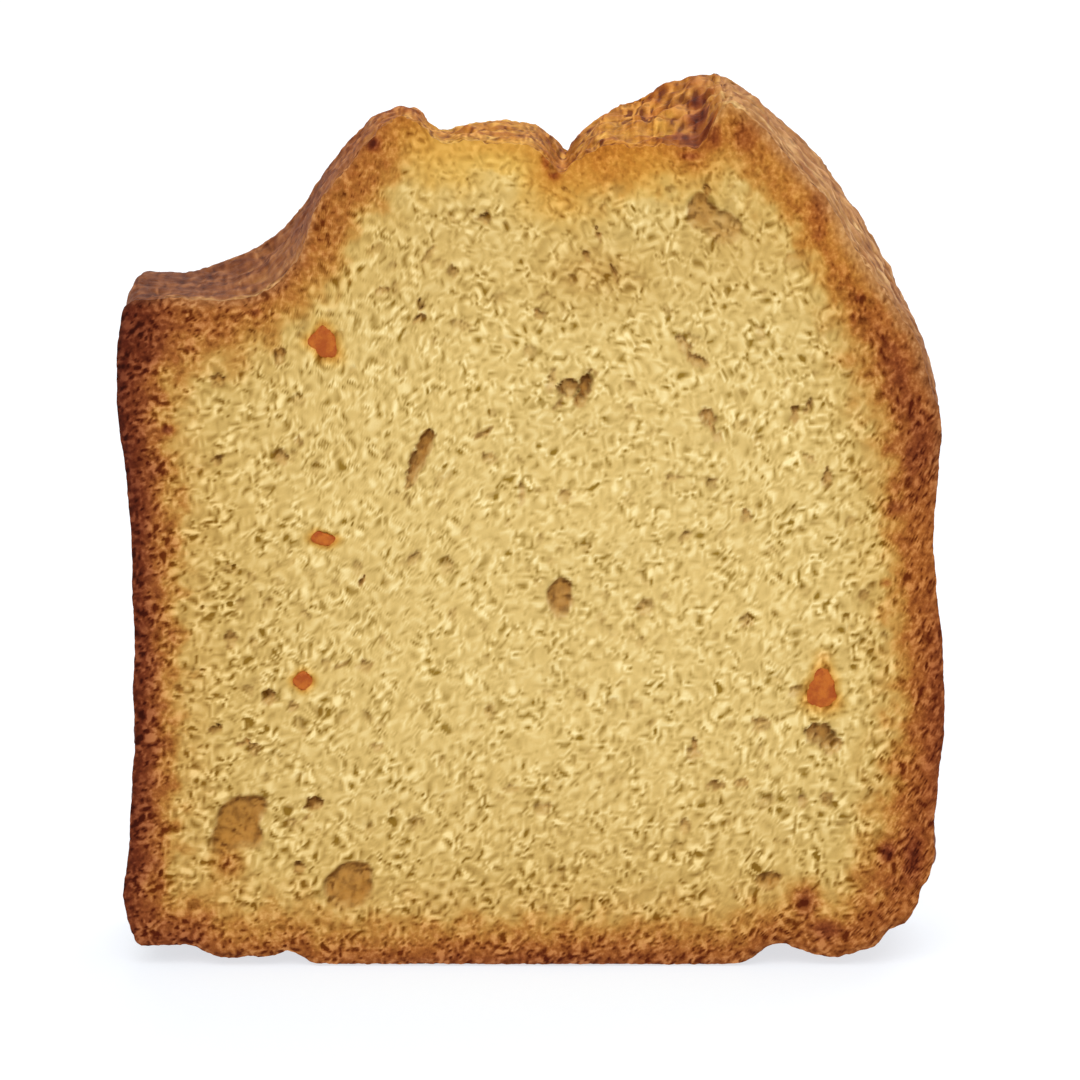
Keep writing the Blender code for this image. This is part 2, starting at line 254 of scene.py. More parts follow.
# Spots on the outer crust: x and z of the nearest place on the front rim, depth behind
# the front cut, half length along the rim, half depth, heat, height in millimetres.
CRUST_SPOTS = (
    (17.9, 91.9, 2.4, 1.5, 2.4, 0.46, -0.3),
    (17.2, 91.5, 8.0, 0.9, 2.4, 0.56, -0.3),
    (16.9, 91.5, 13.5, 0.7, 2.0, 0.48, -0.2),
    (15.8, 91.7, 3.0, 1.1, 1.2, 0.40, -0.2),
    # The next two spots, cooler at the crest, are paler: painted highlights along its edge.
    (19.6, 94.2, 8.0, 0.8, 1.6, -0.20, 0.2),
    (21.8, 96.0, 0.6, 1.4, 1.4, -0.20, 0.0),
    (12.6, 91.7, 7.0, 3.4, 2.6, -0.10, 0.3),
    (16.4, 91.6, 19.0, 2.4, 9.0, 0.0, 0.50),
    (14.3, 91.8, 23.0, 1.0, 6.0, 0.0, 0.25),
    (10.2, 91.7, 22.0, 1.6, 8.0, 0.0, -0.35),
    (4.3, 89.9, 21.5, 1.2, 8.0, 0.0, 0.35),
    (24.0, 94.4, 17.0, 1.6, 9.0, 0.0, 0.35),
    (31.2, 86.7, 18.0, 3.0, 9.0, 0.0, -0.28),
    (41.9, 70.6, 19.0, 3.0, 9.0, 0.0, -0.20),
    (-17.4, 92.3, 20.0, 1.3, 9.0, 0.0, 0.40),
    (-13.4, 94.9, 20.0, 0.8, 9.0, 0.0, 0.20),
    (-11.6, 93.6, 22.0, 0.9, 8.0, 0.0, -0.45),
    (-24.4, 83.0, 22.0, 1.8, 8.0, 0.0, -0.35),
    (-41.4, 74.9, 23.0, 1.5, 6.0, 0.0, 0.35),
    (-28.4, 75.9, 0.8, 5.0, 1.0, -0.12, 0.0),
    (-36.0, 75.0, 0.6, 9.0, 0.8, -0.16, 0.0),
    (39.5, 75.5, 12.0, 9.0, 12.0, 0.0, 0.40),
)

# Places where the rim is nibbled or stands out: x, z, half length, millimetres outwards.
RIM_NIBBLES = (
    (44.6, 12.6, 1.3, 0.25),
    (43.4, 8.6, 1.0, -0.55),
    (42.2, 6.6, 0.9, -0.15),
    (39.6, 4.0, 1.1, -0.60),
    (37.6, 2.4, 0.9, 0.10),
    (-43.6, 4.8, 0.7, -0.35),
    (-43.9, 3.0, 0.6, 0.25),
)

# Candied peel: x, z, and its reach in eight directions, anticlockwise from the right.
FRONT_PEEL = (
    (-22.9, 70.2, (1.5, 1.5, 1.9, 1.3, 1.75, 1.2, 1.8, 2.3)),
    (-22.9, 48.4, (1.45, 0.75, 0.7, 1.2, 1.5, 0.85, 0.75, 1.0)),
    (-25.3, 32.5, (1.1, 1.0, 1.15, 1.0, 1.25, 1.0, 1.1, 1.0)),
    (31.9, 31.6, (1.4, 1.7, 2.7, 1.5, 1.6, 2.3, 2.3, 2.3)),
)
BACK_PEEL = (
    (21.6, 66.0, (1.9, 1.4, 1.6, 1.5, 2.0, 1.6, 1.3, 1.8)),
    (-12.4, 35.0, (1.5, 1.1, 1.2, 1.4, 1.3, 1.0, 1.2, 1.4)),
    (-30.0, 60.0, (1.1, 1.3, 1.6, 1.2, 1.2, 1.4, 1.3, 1.0)),
    (8.4, 27.0, (1.3, 0.9, 0.8, 1.0, 1.4, 1.0, 0.9, 1.1)),
    (30.0, 38.0, (1.0, 1.2, 1.4, 1.0, 1.0, 1.3, 1.2, 0.9)),
)


# ---------------------------------------------------------------- noise on sheets
SHEET_CELLS = 1024
SHEET_WIDTH = 143.0  # millimetres, after which a sheet repeats


def noise_sheet(seed, length, octaves=0.5):
    """A square sheet of random waves about length millimetres long, with mean 0 and deviation 1.

    White noise is weighted by a bell over the logarithm of its wave length.
    """
    white = np.random.default_rng(seed).standard_normal((SHEET_CELLS, SHEET_CELLS))
    step = SHEET_WIDTH / SHEET_CELLS
    fy = np.fft.fftfreq(SHEET_CELLS, step)[:, None]
    fx = np.fft.rfftfreq(SHEET_CELLS, step)[None, :]
    waves = np.hypot(fx, fy) * length
    waves[0, 0] = 1e-6
    band = np.exp(-((np.log2(waves) / octaves) ** 2))
    sheet = np.fft.irfft2(np.fft.rfft2(white) * band, s=white.shape)
    return (sheet - sheet.mean()) / sheet.std()


def read_sheet(sheet, a, b):
    """The sheet's heights at the places (a, b) in millimetres, by bilinear mixing."""
    a = a / SHEET_WIDTH * SHEET_CELLS
    b = b / SHEET_WIDTH * SHEET_CELLS
    i, j = np.floor(a).astype(int), np.floor(b).astype(int)
    fa, fb = a - i, b - j
    i, j, i1, j1 = (k % SHEET_CELLS for k in (i, j, i + 1, j + 1))
    near = sheet[j, i] * (1 - fa) + sheet[j, i1] * fa
    far = sheet[j1, i] * (1 - fa) + sheet[j1, i1] * fa
    return near * (1 - fb) + far * fb


def smooth_step(low, high, value):
    """0 below low, 1 above high, and an S curve between them."""
    t = np.clip((value - low) / (high - low), 0.0, 1.0)
    return t * t * (3 - 2 * t)


# ---------------------------------------------------------------- the slice's outlines
LEAST_POINTS = 150  # a plane across the solid with more points than this is an outline
INNERMOST = 0.88  # a point nearer the middle than this share of the outline is in a hole


def cad_rings():
    """The solid's outlines from front to back: for each its y and its points by angle.

    The solid's points lie on planes across the slice. Those well inside the outline
    belong to its air holes and are left out.
    """
    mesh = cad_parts[NODE].data
    points = np.empty(len(mesh.vertices) * 3, np.float32)
    mesh.vertices.foreach_get("co", points)
    points = np.unique(points.reshape(-1, 3).round(7), axis=0).astype(float) / MM
    depths, counts = np.unique(points[:, 1].round(2), return_counts=True)
    depths = depths[counts > LEAST_POINTS]
    rings = []
    for depth in depths:
        ring = points[np.abs(points[:, 1] - depth) < 0.01][:, [0, 2]]
        rings.append(by_angle(ring))
    inner = rings[len(rings) // 2]
    for k, ring in enumerate(rings):
        off = ring - MIDDLE
        reach = np.hypot(*(ray_out(inner, np.arctan2(off[:, 1], off[:, 0])) - MIDDLE).T)
        rings[k] = ring[np.hypot(off[:, 0], off[:, 1]) > INNERMOST * reach]
    return depths, rings


def by_angle(ring):
    """The points in order round the middle."""
    off = ring - MIDDLE
    return ring[np.argsort(np.arctan2(off[:, 1], off[:, 0]))]


def ray_out(ring, angle):
    """Where rays from the middle at these angles cross the ring, a polygon sorted by angle."""
    off = ring - MIDDLE
    turn = np.arctan2(off[:, 1], off[:, 0])
    k = np.searchsorted(turn, angle) % len(ring)
    p, q = off[k - 1], off[k]
    way = np.stack([np.cos(angle), np.sin(angle)], -1)
    edge = q - p
    along = way[:, 0] * p[:, 1] - way[:, 1] * p[:, 0]
    across = way[:, 1] * edge[:, 0] - way[:, 0] * edge[:, 1]
    share = np.clip(along / np.where(np.abs(across) < 1e-9, 1e-9, across), 0.0, 1.0)
    return MIDDLE + p + edge * share[:, None]


def rim_angles(rings):
    """The angles of the rim's points, from the left foot anticlockwise, and its corners.

    The corners are the outline's farthest points down left, down right, towards the
    crest and up left. Between two corners the points are evenly spaced on the outline,
    averaged over the front and back cuts.
    """
    turn = np.linspace(-np.pi, np.pi, 8193)[:-1]
    ends = [ray_out(rings[0], turn), ray_out(rings[-1], turn)]
    mean = (ends[0] + ends[1]) / 2
    towards = np.array([(-1.0, -1.0), (1.0, -1.0), (0.5, 1.0), (-1.0, 1.0)])
    corners = [int(np.argmax(mean @ way)) for way in towards]
    turn = np.concatenate([turn, turn + 2 * np.pi])
    steps = [np.hypot(*(np.roll(e, -1, axis=0) - e).T) for e in ends]
    length = np.concatenate([[0.0], np.cumsum(np.tile((steps[0] + steps[1]) / 2, 2))[:-1]])
    angles = []
    for side, cells in enumerate((ACROSS, UPWARD, ACROSS, UPWARD)):
        start, stop = corners[side], corners[(side + 1) % 4]
        stop += 0 if stop > start else len(mean)
        goal = np.linspace(length[start], length[stop], cells + 1)[:-1]
        angles.append(np.interp(goal, length, turn))
    return (np.concatenate(angles) + np.pi) % (2 * np.pi) - np.pi


def soften(rows, width):
    """A closed row of points blurred along itself by a bell of this width in points."""
    reach = int(3 * width)
    bell = np.exp(-0.5 * (np.arange(-reach, reach + 1) / width) ** 2)
    bell /= bell.sum()
    out = np.zeros_like(rows)
    for shift, weight in zip(range(-reach, reach + 1), bell):
        out += weight * np.roll(rows, shift, axis=-2)
    return out


CORNER_ROUNDING = 1.6  # in rim points
CREST_ROUNDING = 6.0
DEPTHS, RINGS = cad_rings()
ANGLES = rim_angles(RINGS)
SHELLS = soften(np.stack([ray_out(ring, ANGLES) for ring in RINGS]), CORNER_ROUNDING)
COUNT = len(ANGLES)


def shell(depth):
    """The outline's points at one depth, or at many, between the solid's own outlines."""
    depth = np.atleast_1d(depth)
    k = np.clip(np.searchsorted(DEPTHS, depth, side="right") - 1, 0, len(DEPTHS) - 2)
    t = np.clip((depth - DEPTHS[k]) / (DEPTHS[k + 1] - DEPTHS[k]), 0.0, 1.0)[:, None, None]
    before = SHELLS[np.maximum(k - 1, 0)]
    after = SHELLS[np.minimum(k + 2, len(DEPTHS) - 1)]
    a, b = SHELLS[k], SHELLS[k + 1]
    bend = (2 * before - 5 * a + 4 * b - after) * t * t + (3 * a - before - 3 * b + after) * t**3
    return a + 0.5 * ((b - before) * t + bend)


def outward(rows):
    """Unit normals of closed rows of points, pointing out of the slice."""
    along = np.roll(rows, -2, axis=-2) - np.roll(rows, 2, axis=-2)
    normal = np.stack([along[..., 1], -along[..., 0]], -1)
    return normal / np.linalg.norm(normal, axis=-1, keepdims=True)


def rim_table(rim):
    """The columns of RIM_PLACES at every point of the rim, by soft steps between places."""
    place = np.array([row[1:3] for row in RIM_PLACES])
    values = np.array([row[3:] for row in RIM_PLACES])
    gap = np.hypot(*(rim[:, None, :] - place[None]).transpose(2, 0, 1))
    at = gap.argmin(0)
    order = np.argsort(at)
    at, values = at[order], values[order]
    spots = np.arange(COUNT)
    k = np.searchsorted(at, spots, side="right") - 1
    after = (k + 1) % len(at)
    span = (at[after] - at[k]) % COUNT
    t = ((spots - at[k]) % COUNT) / span
    t = (t * t * (3 - 2 * t))[:, None]
    return values[k] * (1 - t) + values[after] * t


CREST = (20.6, 95.6)


def round_crest():
    """The outlines, rounded off around the crest behind the front cut."""
    along = np.concatenate([[0.0], np.cumsum(np.hypot(*np.diff(SHELLS[0], axis=0).T))])
    crest = along[np.hypot(*(SHELLS[0] - CREST).T).argmin()]
    near = np.exp(-(((along - crest) / 7.0) ** 2))
    behind = smooth_step(1.0, 6.0, DEPTHS - FRONT)
    share = (behind[:, None] * near)[..., None]
    return SHELLS * (1 - share) + soften(SHELLS, CREST_ROUNDING) * share


SHELLS = round_crest()
RIM_FRONT = shell(FRONT)[0]
RIM_BACK = shell(BACK)[0]
RIM_VALUES = rim_table(RIM_FRONT)
EDGE_HEAT, _, _, GOLD, CRUST_FRONT, CRUST_BACK, ASH_AND_SHEEN, LUMP, LAP = RIM_VALUES.T

SHEETS = {
    "broad": noise_sheet(11, 18.0),
    "middle": noise_sheet(12, 6.0),
    "small": noise_sheet(13, 2.4),
    "fine": noise_sheet(14, 1.1),
    "lump": noise_sheet(22, 4.5),
    "floor": noise_sheet(23, 2.0),
    "grain": noise_sheet(31, 1.25, 0.38),
    "fleck": noise_sheet(32, 0.88, 0.35),
    "clot": noise_sheet(33, 2.1),
    "pore": noise_sheet(41, 1.6, 0.6),
    "pinhole": noise_sheet(42, 0.95, 0.4),
    "patch": noise_sheet(45, 7.0, 0.7),
    "mottle": noise_sheet(46, 4.0, 0.6),
    "sway": noise_sheet(48, 2.6),
    "sway2": noise_sheet(49, 2.6),
}


# ---------------------------------------------------------------- meshes
def add_mesh(name, points, faces, values):
    """A smooth piece from points in millimetres, with a number per point for each name."""
    mesh = bpy.data.meshes.new(name)
    mesh.from_pydata((points * MM).tolist(), [], faces)
    mesh.validate()
    for key, value in values.items():
        layer = mesh.attributes.new(key, "FLOAT", "POINT")
        layer.data.foreach_set("value", np.ascontiguousarray(value, np.float32))
    mesh.shade_smooth()
    piece = bpy.data.objects.new(name, mesh)
    bpy.context.scene.collection.objects.link(piece)
    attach(piece, BODY)
    return piece


def add_bake_map(piece, places):
    """Gives the piece the map OFBake, with one place for each corner of its faces."""
    layer = piece.data.uv_layers.new(name="OFBake")
    layer.uv.foreach_set("vector", np.ascontiguousarray(places, np.float32).ravel())


def grid_faces(rows, columns, first=0, closed=False):
    """Quads between neighbouring rows and columns of a grid numbered row by row."""
    j = np.arange(rows - 1)[:, None]
    i = np.arange(columns if closed else columns - 1)[None, :]
    right = (i + 1) % columns
    quad = np.stack(np.broadcast_arrays(j * columns + i, j * columns + right,
                                        (j + 1) * columns + right, (j + 1) * columns + i), -1)
    return quad.reshape(-1, 4) + first


RELAX_ROUNDS = 200


def cut_grid(rim):
    """A grid of points filling the rim: row 0 lies on the base and the last row on the crown.

    It starts as the blend of the four sides, and is then relaxed, each inner point
    moving to the mean of its four neighbours.
    """
    a, b, c = ACROSS, ACROSS + UPWARD, 2 * ACROSS + UPWARD
    low = rim[: a + 1]
    right = rim[a : b + 1]
    high = rim[b : c + 1][::-1]
    left = np.concatenate([rim[c:], rim[:1]])[::-1]
    u = np.linspace(0, 1, ACROSS + 1)[None, :, None]
    v = np.linspace(0, 1, UPWARD + 1)[:, None, None]
    grid = (1 - v) * low[None] + v * high[None] + (1 - u) * left[:, None] + u * right[:, None]
    grid -= (1 - u) * (1 - v) * low[0] + u * (1 - v) * low[-1]
    grid -= (1 - u) * v * high[0] + u * v * high[-1]
    for _ in range(RELAX_ROUNDS):
        inner = grid[:-2, 1:-1] + grid[2:, 1:-1] + grid[1:-1, :-2] + grid[1:-1, 2:]
        grid[1:-1, 1:-1] = inner / 4
    return grid


def grid_rim():
    """The grid's own numbers for the rim's points, in the rim's order."""
    wide = ACROSS + 1
    number = np.arange((UPWARD + 1) * wide).reshape(UPWARD + 1, wide)
    sides = number[0, :-1], number[:-1, -1], number[-1, :0:-1], number[:0:-1, 0]
    return np.concatenate(sides)


RIM_SPREAD = 0.6  # millimetres over which the rim's values are averaged
POINTS_AT_ONCE = 4096


def rim_distance(points, rim):
    """For each point its distance to the rim, the nearest rim point, and the rim's values there.

    The values are a mean over the rim, in which a rim point counts for less the farther
    it lies beyond the nearest one.
    """
    distance = np.empty(len(points))
    nearest = np.empty(len(points), int)
    values = np.empty((len(points), RIM_VALUES.shape[1]))
    for start in range(0, len(points), POINTS_AT_ONCE):
        part = slice(start, start + POINTS_AT_ONCE)
        block = points[part]
        gap = np.hypot(block[:, :1] - rim[:, 0], block[:, 1:] - rim[:, 1])
        nearest[part] = gap.argmin(1)
        distance[part] = least = gap.min(1)
        weight = np.exp((least[:, None] - gap) / RIM_SPREAD)
        values[part] = weight @ RIM_VALUES / weight.sum(1)[:, None]
    return distance, nearest, values



def hole_reach(dx, dz, shape):
    """How far places are from a hole's middle, where 1 is at its edge.

    The shape is an ellipse's half width, half height and tilt, or a reach in eight directions.
    """
    if len(shape) > 3:
        return np.hypot(dx, dz) / peel_outline(np.arctan2(dz, dx), shape)
    half_width, half_height, tilt = shape
    turn = math.radians(tilt)
    a = (dx * math.cos(turn) - dz * math.sin(turn)) / half_width
    b = (dx * math.sin(turn) + dz * math.cos(turn)) / half_height
    return np.hypot(a, b)


def inside_holes(x, z, holes, wobble):
    """How far inside an air hole each place is, from 0 to 1, and that hole's depth and shade."""
    reach = np.full_like(x, 9.0)
    depth, shade = np.zeros_like(x), np.zeros_like(x)
    for hx, hz, *rest in holes:
        if len(rest) > 3:
            rest = (rest[0], rest[1], rest[3]), rest[2], rest[4]
        shape, deep, dark = rest
        size = max(shape[:2]) if len(shape) == 3 else max(shape)
        near = np.flatnonzero((np.abs(x - hx) < 1.5 * size) & (np.abs(z - hz) < 1.5 * size))
        found = hole_reach(x[near] - hx, z[near] - hz, shape)
        found += wobble[near] / (math.sqrt(shape[0] * shape[1]) if len(shape) == 3 else 1.5 * size)
        closer = found < reach[near]
        near = near[closer]
        reach[near], depth[near], shade[near] = found[closer], deep, dark
    return 1 - smooth_step(0.84, 1.08, reach), depth, shade


def hole_field(x, z, holes, wobble):
    """How brown each place is as part of an air hole, how deep, and how much painted shade
    it takes under a top edge.

    It is near a top edge where it lies in a hole and a place just above it doesn't; the
    shade painted there stands for the shadow under that edge. It is near the bottom, where
    the floor rises, where a place just below it doesn't; there the brown is painted paler,
    as if lit from above. The brown is partly the walls' own colour and partly painted shade.
    """
    here, deep, shade = inside_holes(x, z, holes, wobble)
    above = inside_holes(x, z + 0.45, holes, wobble)[0]
    below = inside_holes(x, z - 0.8, holes, wobble)[0]
    # Painted light: the brown is paler towards a hole's bottom, and the last value is the painted shade
    # under its top edge.
    brown = here * shade * (0.7 + 0.3 * below)
    depth = here * deep * (0.35 + 0.65 * below)
    return brown, depth, here * (1 - above) * shade


def scattered_holes(seed, count, rim):
    """Random small air holes, mostly under a millimetre, spread over the cut."""
    rng = np.random.default_rng(seed)
    low, high = rim.min(0) + 4.0, rim.max(0) - 4.0
    x = rng.uniform(low[0], high[0], count)
    z = rng.uniform(low[1], high[1], count)
    size = 0.32 + 0.55 * rng.beta(1.2, 4.0, count)
    longer = rng.uniform(1.0, 1.9, count)
    tilt = rng.uniform(0, 180, count)
    shade = 0.7 * rng.beta(1.2, 1.6, count)
    return np.stack([x, z, size, size * longer, size * 0.45, tilt, shade], -1)


def knife_wave(x, z, shift):
    """The slow waves that the knife leaves in a cut, as a depth."""
    a, b = x + shift, z + 2 * shift
    return 0.16 * read_sheet(SHEETS["broad"], a, b) + 0.06 * read_sheet(SHEETS["middle"], a, b)


def crumb_tone(a, b, wildness, opened=0.0):
    """The crumb's fine texture: how much lighter or darker each place is, in hundredths.

    Two waves of about a millimetre are summed, bent sideways by slower ones and squeezed
    so that dips reach lower than rises. Bright ridges run along the zero line of one of
    them: painted highlights where cell walls would catch the light. Dark pores open where
    another is highest, and more of them where it is opened; they are real pores, their
    darkness partly painted shade.
    All is stronger where the crumb is wild, and weaker in calm patches.
    """
    a, b = a + 20.0, b + 30.0
    plain = {name: read_sheet(SHEETS[name], a, b) for name in ("clot", "patch", "mottle", "sway", "sway2")}
    bent_a, bent_b = a + 0.2 * plain["sway"], b + 0.2 * plain["sway2"]
    bent = {name: read_sheet(SHEETS[name], bent_a, bent_b) for name in ("grain", "fleck", "pore")}
    patch = smooth_step(-1.2, 1.4, 0.8 * plain["patch"] + 0.6 * plain["mottle"])
    wave = 0.75 * bent["grain"] + 0.85 * bent["fleck"] + 0.35 * plain["clot"]
    wave = wave - 0.30 * np.maximum(-wave - 0.3, 0) ** 1.5 - 0.2 * np.maximum(wave - 0.6, 0) ** 1.5
    ridge_highlight = np.exp(-((bent["grain"] / 0.4) ** 2)) - 0.37
    pore = bent["pore"] + 0.25 * bent["fleck"] + 0.9 * (patch - 0.5)
    shaded_pit = smooth_step(1.65, 2.25, pore)
    shaded_pit = np.maximum(shaded_pit, opened * smooth_step(1.35, 1.9, read_sheet(SHEETS["pinhole"], a, b)))
    tone = 0.24 * wave * (0.5 + 0.6 * patch) * (1 - 0.7 * shaded_pit) + 0.16 * ridge_highlight * patch * (1 - 0.6 * opened)
    return (tone + 0.05 * plain["mottle"] - 0.66 * shaded_pit) * wildness


def crumb_relief(x, z, distance, drop, holes, peel, scatter, shift):
    """How deep the cut's surface lies at each place, with what its colour follows.

    The depth is the sum of a wavy knife cut, the crumb's texture, whose dark places lie
    deeper, and the air holes. At the rim it is the rim's own drop. The tone is that
    texture, with painted shade under the top edges of the air holes.
    """
    a, b = x + shift, z + 2 * shift
    read = {name: read_sheet(SHEETS[name], a, b) for name in ("small", "fine", "floor", "fleck")}
    opened = smooth_step(7.0, 2.0, distance)
    wildness = 0.88 + 0.30 * smooth_step(26.0, 8.0, distance) * smooth_step(90.0, 50.0, z)
    tone = crumb_tone(a, b, wildness, opened)
    wobble = 0.07 * read["fine"] + 0.08 * read["small"] + 0.08 * read["fleck"]
    brown, hole_depth, top_edge_shade = hole_field(x, z, holes, wobble)
    small_brown, small_depth, small_top_edge_shade = hole_field(x, z, scatter, 0.6 * wobble)
    floor = 0.12 * read["floor"] + 0.06 * read["fine"]
    set_in = 1 - smooth_step(0.72, 0.95, peel_reach(x, z, peel) + 0.3 * wobble)
    depth = knife_wave(x, z, shift) + (0.02 * read["small"] - 0.14 * tone) * (1 - 0.5 * brown)
    depth += small_depth * (1 - set_in) + 0.75 * hole_depth + floor * brown + 0.6 * set_in
    edge = np.exp(-((distance / 0.5) ** 2))
    depth = depth * (1 - edge) + drop * edge
    # Painted shade under the top edges of the air holes, small and large; the small holes' brown is partly
    # painted shade too.
    tone = tone * (1 - 0.35 * brown) - 0.3 * small_brown - 0.35 * small_top_edge_shade
    tone -= 0.6 * top_edge_shade * (1 + 0.3 * read["fleck"]) - 0.10 * brown
    return depth, np.maximum(brown, 0.55 * small_brown), tone


def peel_reach(x, z, peel):
    """How far each place is from the nearest bit of peel's middle, where 1 is at its outline."""
    nearest = np.full_like(x, 9.0)
    for px, pz, radii in peel:
        turn = np.arctan2(z - pz, x - px)
        nearest = np.minimum(nearest, np.hypot(x - px, z - pz) / peel_outline(turn, radii))
    return nearest


def peel_outline(turn, radii):
    """The outline's reach at these angles: soft steps between the eight given ones."""
    at = (turn / (2 * np.pi) * len(radii)) % len(radii)
    k = np.floor(at).astype(int) % len(radii)
    t = at - np.floor(at)
    radii = np.array(radii)
    return radii[k] + (radii[(k + 1) % len(radii)] - radii[k]) * t * t * (3 - 2 * t)


EDGE_INSET = 0.25  # millimetres that the rim stands in where it is lumpy
INSET = EDGE_INSET * smooth_step(0.1, 0.35, LUMP)


def nibbles():
    """How far each rim point is moved outwards by the listed nibbles, as soft bells."""
    push = np.zeros(COUNT)
    for x, z, half_length, outwards in RIM_NIBBLES:
        gap = np.hypot(*(RIM_FRONT - [x, z]).T)
        push += outwards * np.exp(-((gap / half_length) ** 2))
    return push


NIBBLE = nibbles()


def rim_crumble(rim, line):
    """The rim moved in and out a little, how far, and how far it drops behind the cut.

    It is nearly smooth where it lay in the tin, and ragged on the crown.
    """
    spot = np.cumsum(np.hypot(*(np.roll(rim, -1, axis=0) - rim).T))
    spot = spot * SHEET_WIDTH * 3 / spot[-1]
    read = {name: read_sheet(SHEETS[name], spot, np.full(COUNT, line))
            for name in ("fine", "floor", "lump")}
    ragged = 0.05 * read["fine"] + 0.07 * read["floor"] + 0.05 * read["lump"]
    push = ragged * (0.1 + 1.2 * LUMP) - INSET + NIBBLE
    drop = 0.25 + 0.35 * LUMP + (0.10 * read["floor"] + 0.10 * read["lump"]) * (0.3 + LUMP)
    moved = rim + outward(rim[None])[0] * push[:, None]
    moved[:, 1] = np.maximum(moved[:, 1], 0.0)
    return moved, push, np.clip(drop, 0.12, 0.9)


BACK_SHIFT = 60.0  # how far on the back cut reads the noise sheets
EDGE_FRONT, PUSH_FRONT, DROP_FRONT = rim_crumble(RIM_FRONT, 5.0)
EDGE_BACK, PUSH_BACK, DROP_BACK = rim_crumble(RIM_BACK, 50.0)


def browning(distance, values):
    """How browned the cut is at these distances from the rim: 0 for crumb, 1 for burnt.

    It goes in straight lines through the rim's own values at 0.8, 3.2 and 6.2 mm, and
    dies away beyond that.
    """
    edge, three, six = values.T[:3]
    first = np.clip((distance - 0.8) / 2.4, 0, 1)
    second = np.clip((distance - 3.2) / 3.0, 0, 1)
    heat = edge + (three - edge) * first + (six - three) * second
    return heat * np.exp(-((np.maximum(distance - 6.0, 0) / 3.6) ** 1.3))


def warm_patches(x, z, bake):
    """The browning with the listed patches added, as soft bells, by the root of the squares."""
    for px, pz, half_width, half_height, heat in WARM_PATCHES:
        bell = np.exp(-(((x - px) / half_width) ** 2) - ((z - pz) / half_height) ** 2)
        bake = np.sqrt(bake**2 + (heat * bell) ** 2)
    return bake


HIDDEN_DEPTH = 3.4  # millimetres behind the cut, where the hidden shell ends in a flat fan
HIDDEN_SHARE = 0.92  # how wide the fan is, as a share of the cut
HIDDEN_STRIP = 0.012  # the share of the bake map kept for what is hidden


def cut_face(name, rim, drop, y_cut, inwards, holes, peel, scatter, shift):
    """One cut of the slice as a closed piece: the relief, and a hidden shell behind its rim.

    inwards is +1 where the slice lies behind the cut along +Y, and -1 at the back.
    """
    grid = cut_grid(rim)
    flat = grid.reshape(-1, 2)
    distance, nearest, values = rim_distance(flat, rim)
    x, z = flat.T
    depth, brown, tone = crumb_relief(x, z, distance, drop[nearest], holes, peel, scatter, shift)
    border = grid_rim()
    depth[border] = drop
    points = np.stack([x, y_cut + inwards * depth, z], -1)
    read = {name: read_sheet(SHEETS[name], x, z) for name in ("fine", "small", "lump")}
    uneven = 0.02 * read["fine"] + 0.05 * read["small"] + 0.08 * read["lump"]
    uneven = 1 + np.clip(uneven, -0.22, 0.35) * smooth_step(13.0, 6.0, distance)
    bake = browning((distance + EDGE_INSET) * uneven, values)
    if inwards > 0:
        bake = warm_patches(x, z, bake)
    gold = values[:, 3] * np.exp(-((distance * uneven / 5.0) ** 3))
    # The ashen crust lapping onto the cut, its grey partly a painted sheen.
    ash_and_sheen = values[:, 6] * np.exp(-((distance * uneven / values[:, 8]) ** 2))
    tone *= (1 - 0.5 * gold) * (1 + 0.3 * smooth_step(0.35, 0.6, bake))
    stain = np.exp(-(peel_reach(x, z, peel) ** 3) / 2.2)
    bake, gold = np.maximum(bake, 0.40 * stain), np.maximum(gold, stain)

    hidden_rim = MIDDLE + (rim - MIDDLE) * HIDDEN_SHARE
    y_hidden = y_cut + inwards * HIDDEN_DEPTH
    behind = np.stack([hidden_rim[:, 0], np.full(COUNT, y_hidden), hidden_rim[:, 1]], -1)
    tip = np.array([[MIDDLE[0], y_hidden, MIDDLE[1]]])
    first = len(points)
    face_quads = grid_faces(UPWARD + 1, ACROSS + 1)
    ring = np.stack([border, np.roll(border, -1)], -1)
    hid = first + np.arange(COUNT)
    hid_next = np.roll(hid, -1)
    walls = np.stack([ring[:, 1], ring[:, 0], hid, hid_next], -1)
    caps = np.stack([hid, np.full(COUNT, first + COUNT), hid_next, hid_next], -1)[:, :3]
    if inwards < 0:
        face_quads, walls, caps = face_quads[:, ::-1], walls[:, ::-1], caps[:, ::-1]
    everything = np.concatenate([points, behind, tip])
    spread = {"bake": bake, "gold": gold, "ash_and_sheen": ash_and_sheen, "hole": brown, "tone": tone}
    hidden = np.zeros(COUNT + 1)
    layers = {key: np.concatenate([value, hidden]) for key, value in spread.items()}
    faces = [*face_quads.tolist(), *walls.tolist(), *caps.tolist()]
    piece = add_mesh(name, everything, faces, layers)
    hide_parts(NODE)
    piece.data.set_sharp_from_angle(angle=SHARP_EDGE)
    span = max(np.ptp(x), np.ptp(z)) * 1.02
    flat_map = np.stack([(everything[:, 0] - x.min()) / span, (everything[:, 2] - z.min()) / span], -1)
    flat_map = 0.006 + flat_map * [1.0, 0.98] + [0.0, HIDDEN_STRIP]
    corners = np.empty(len(piece.data.loops), np.int32)
    piece.data.loops.foreach_get("vertex_index", corners)
    places = flat_map[corners]
    shown = len(face_quads) * 4
    places[shown:, 1] = 0.002 + 0.004 * (corners[shown:] >= first)
    add_bake_map(piece, places)
    return piece


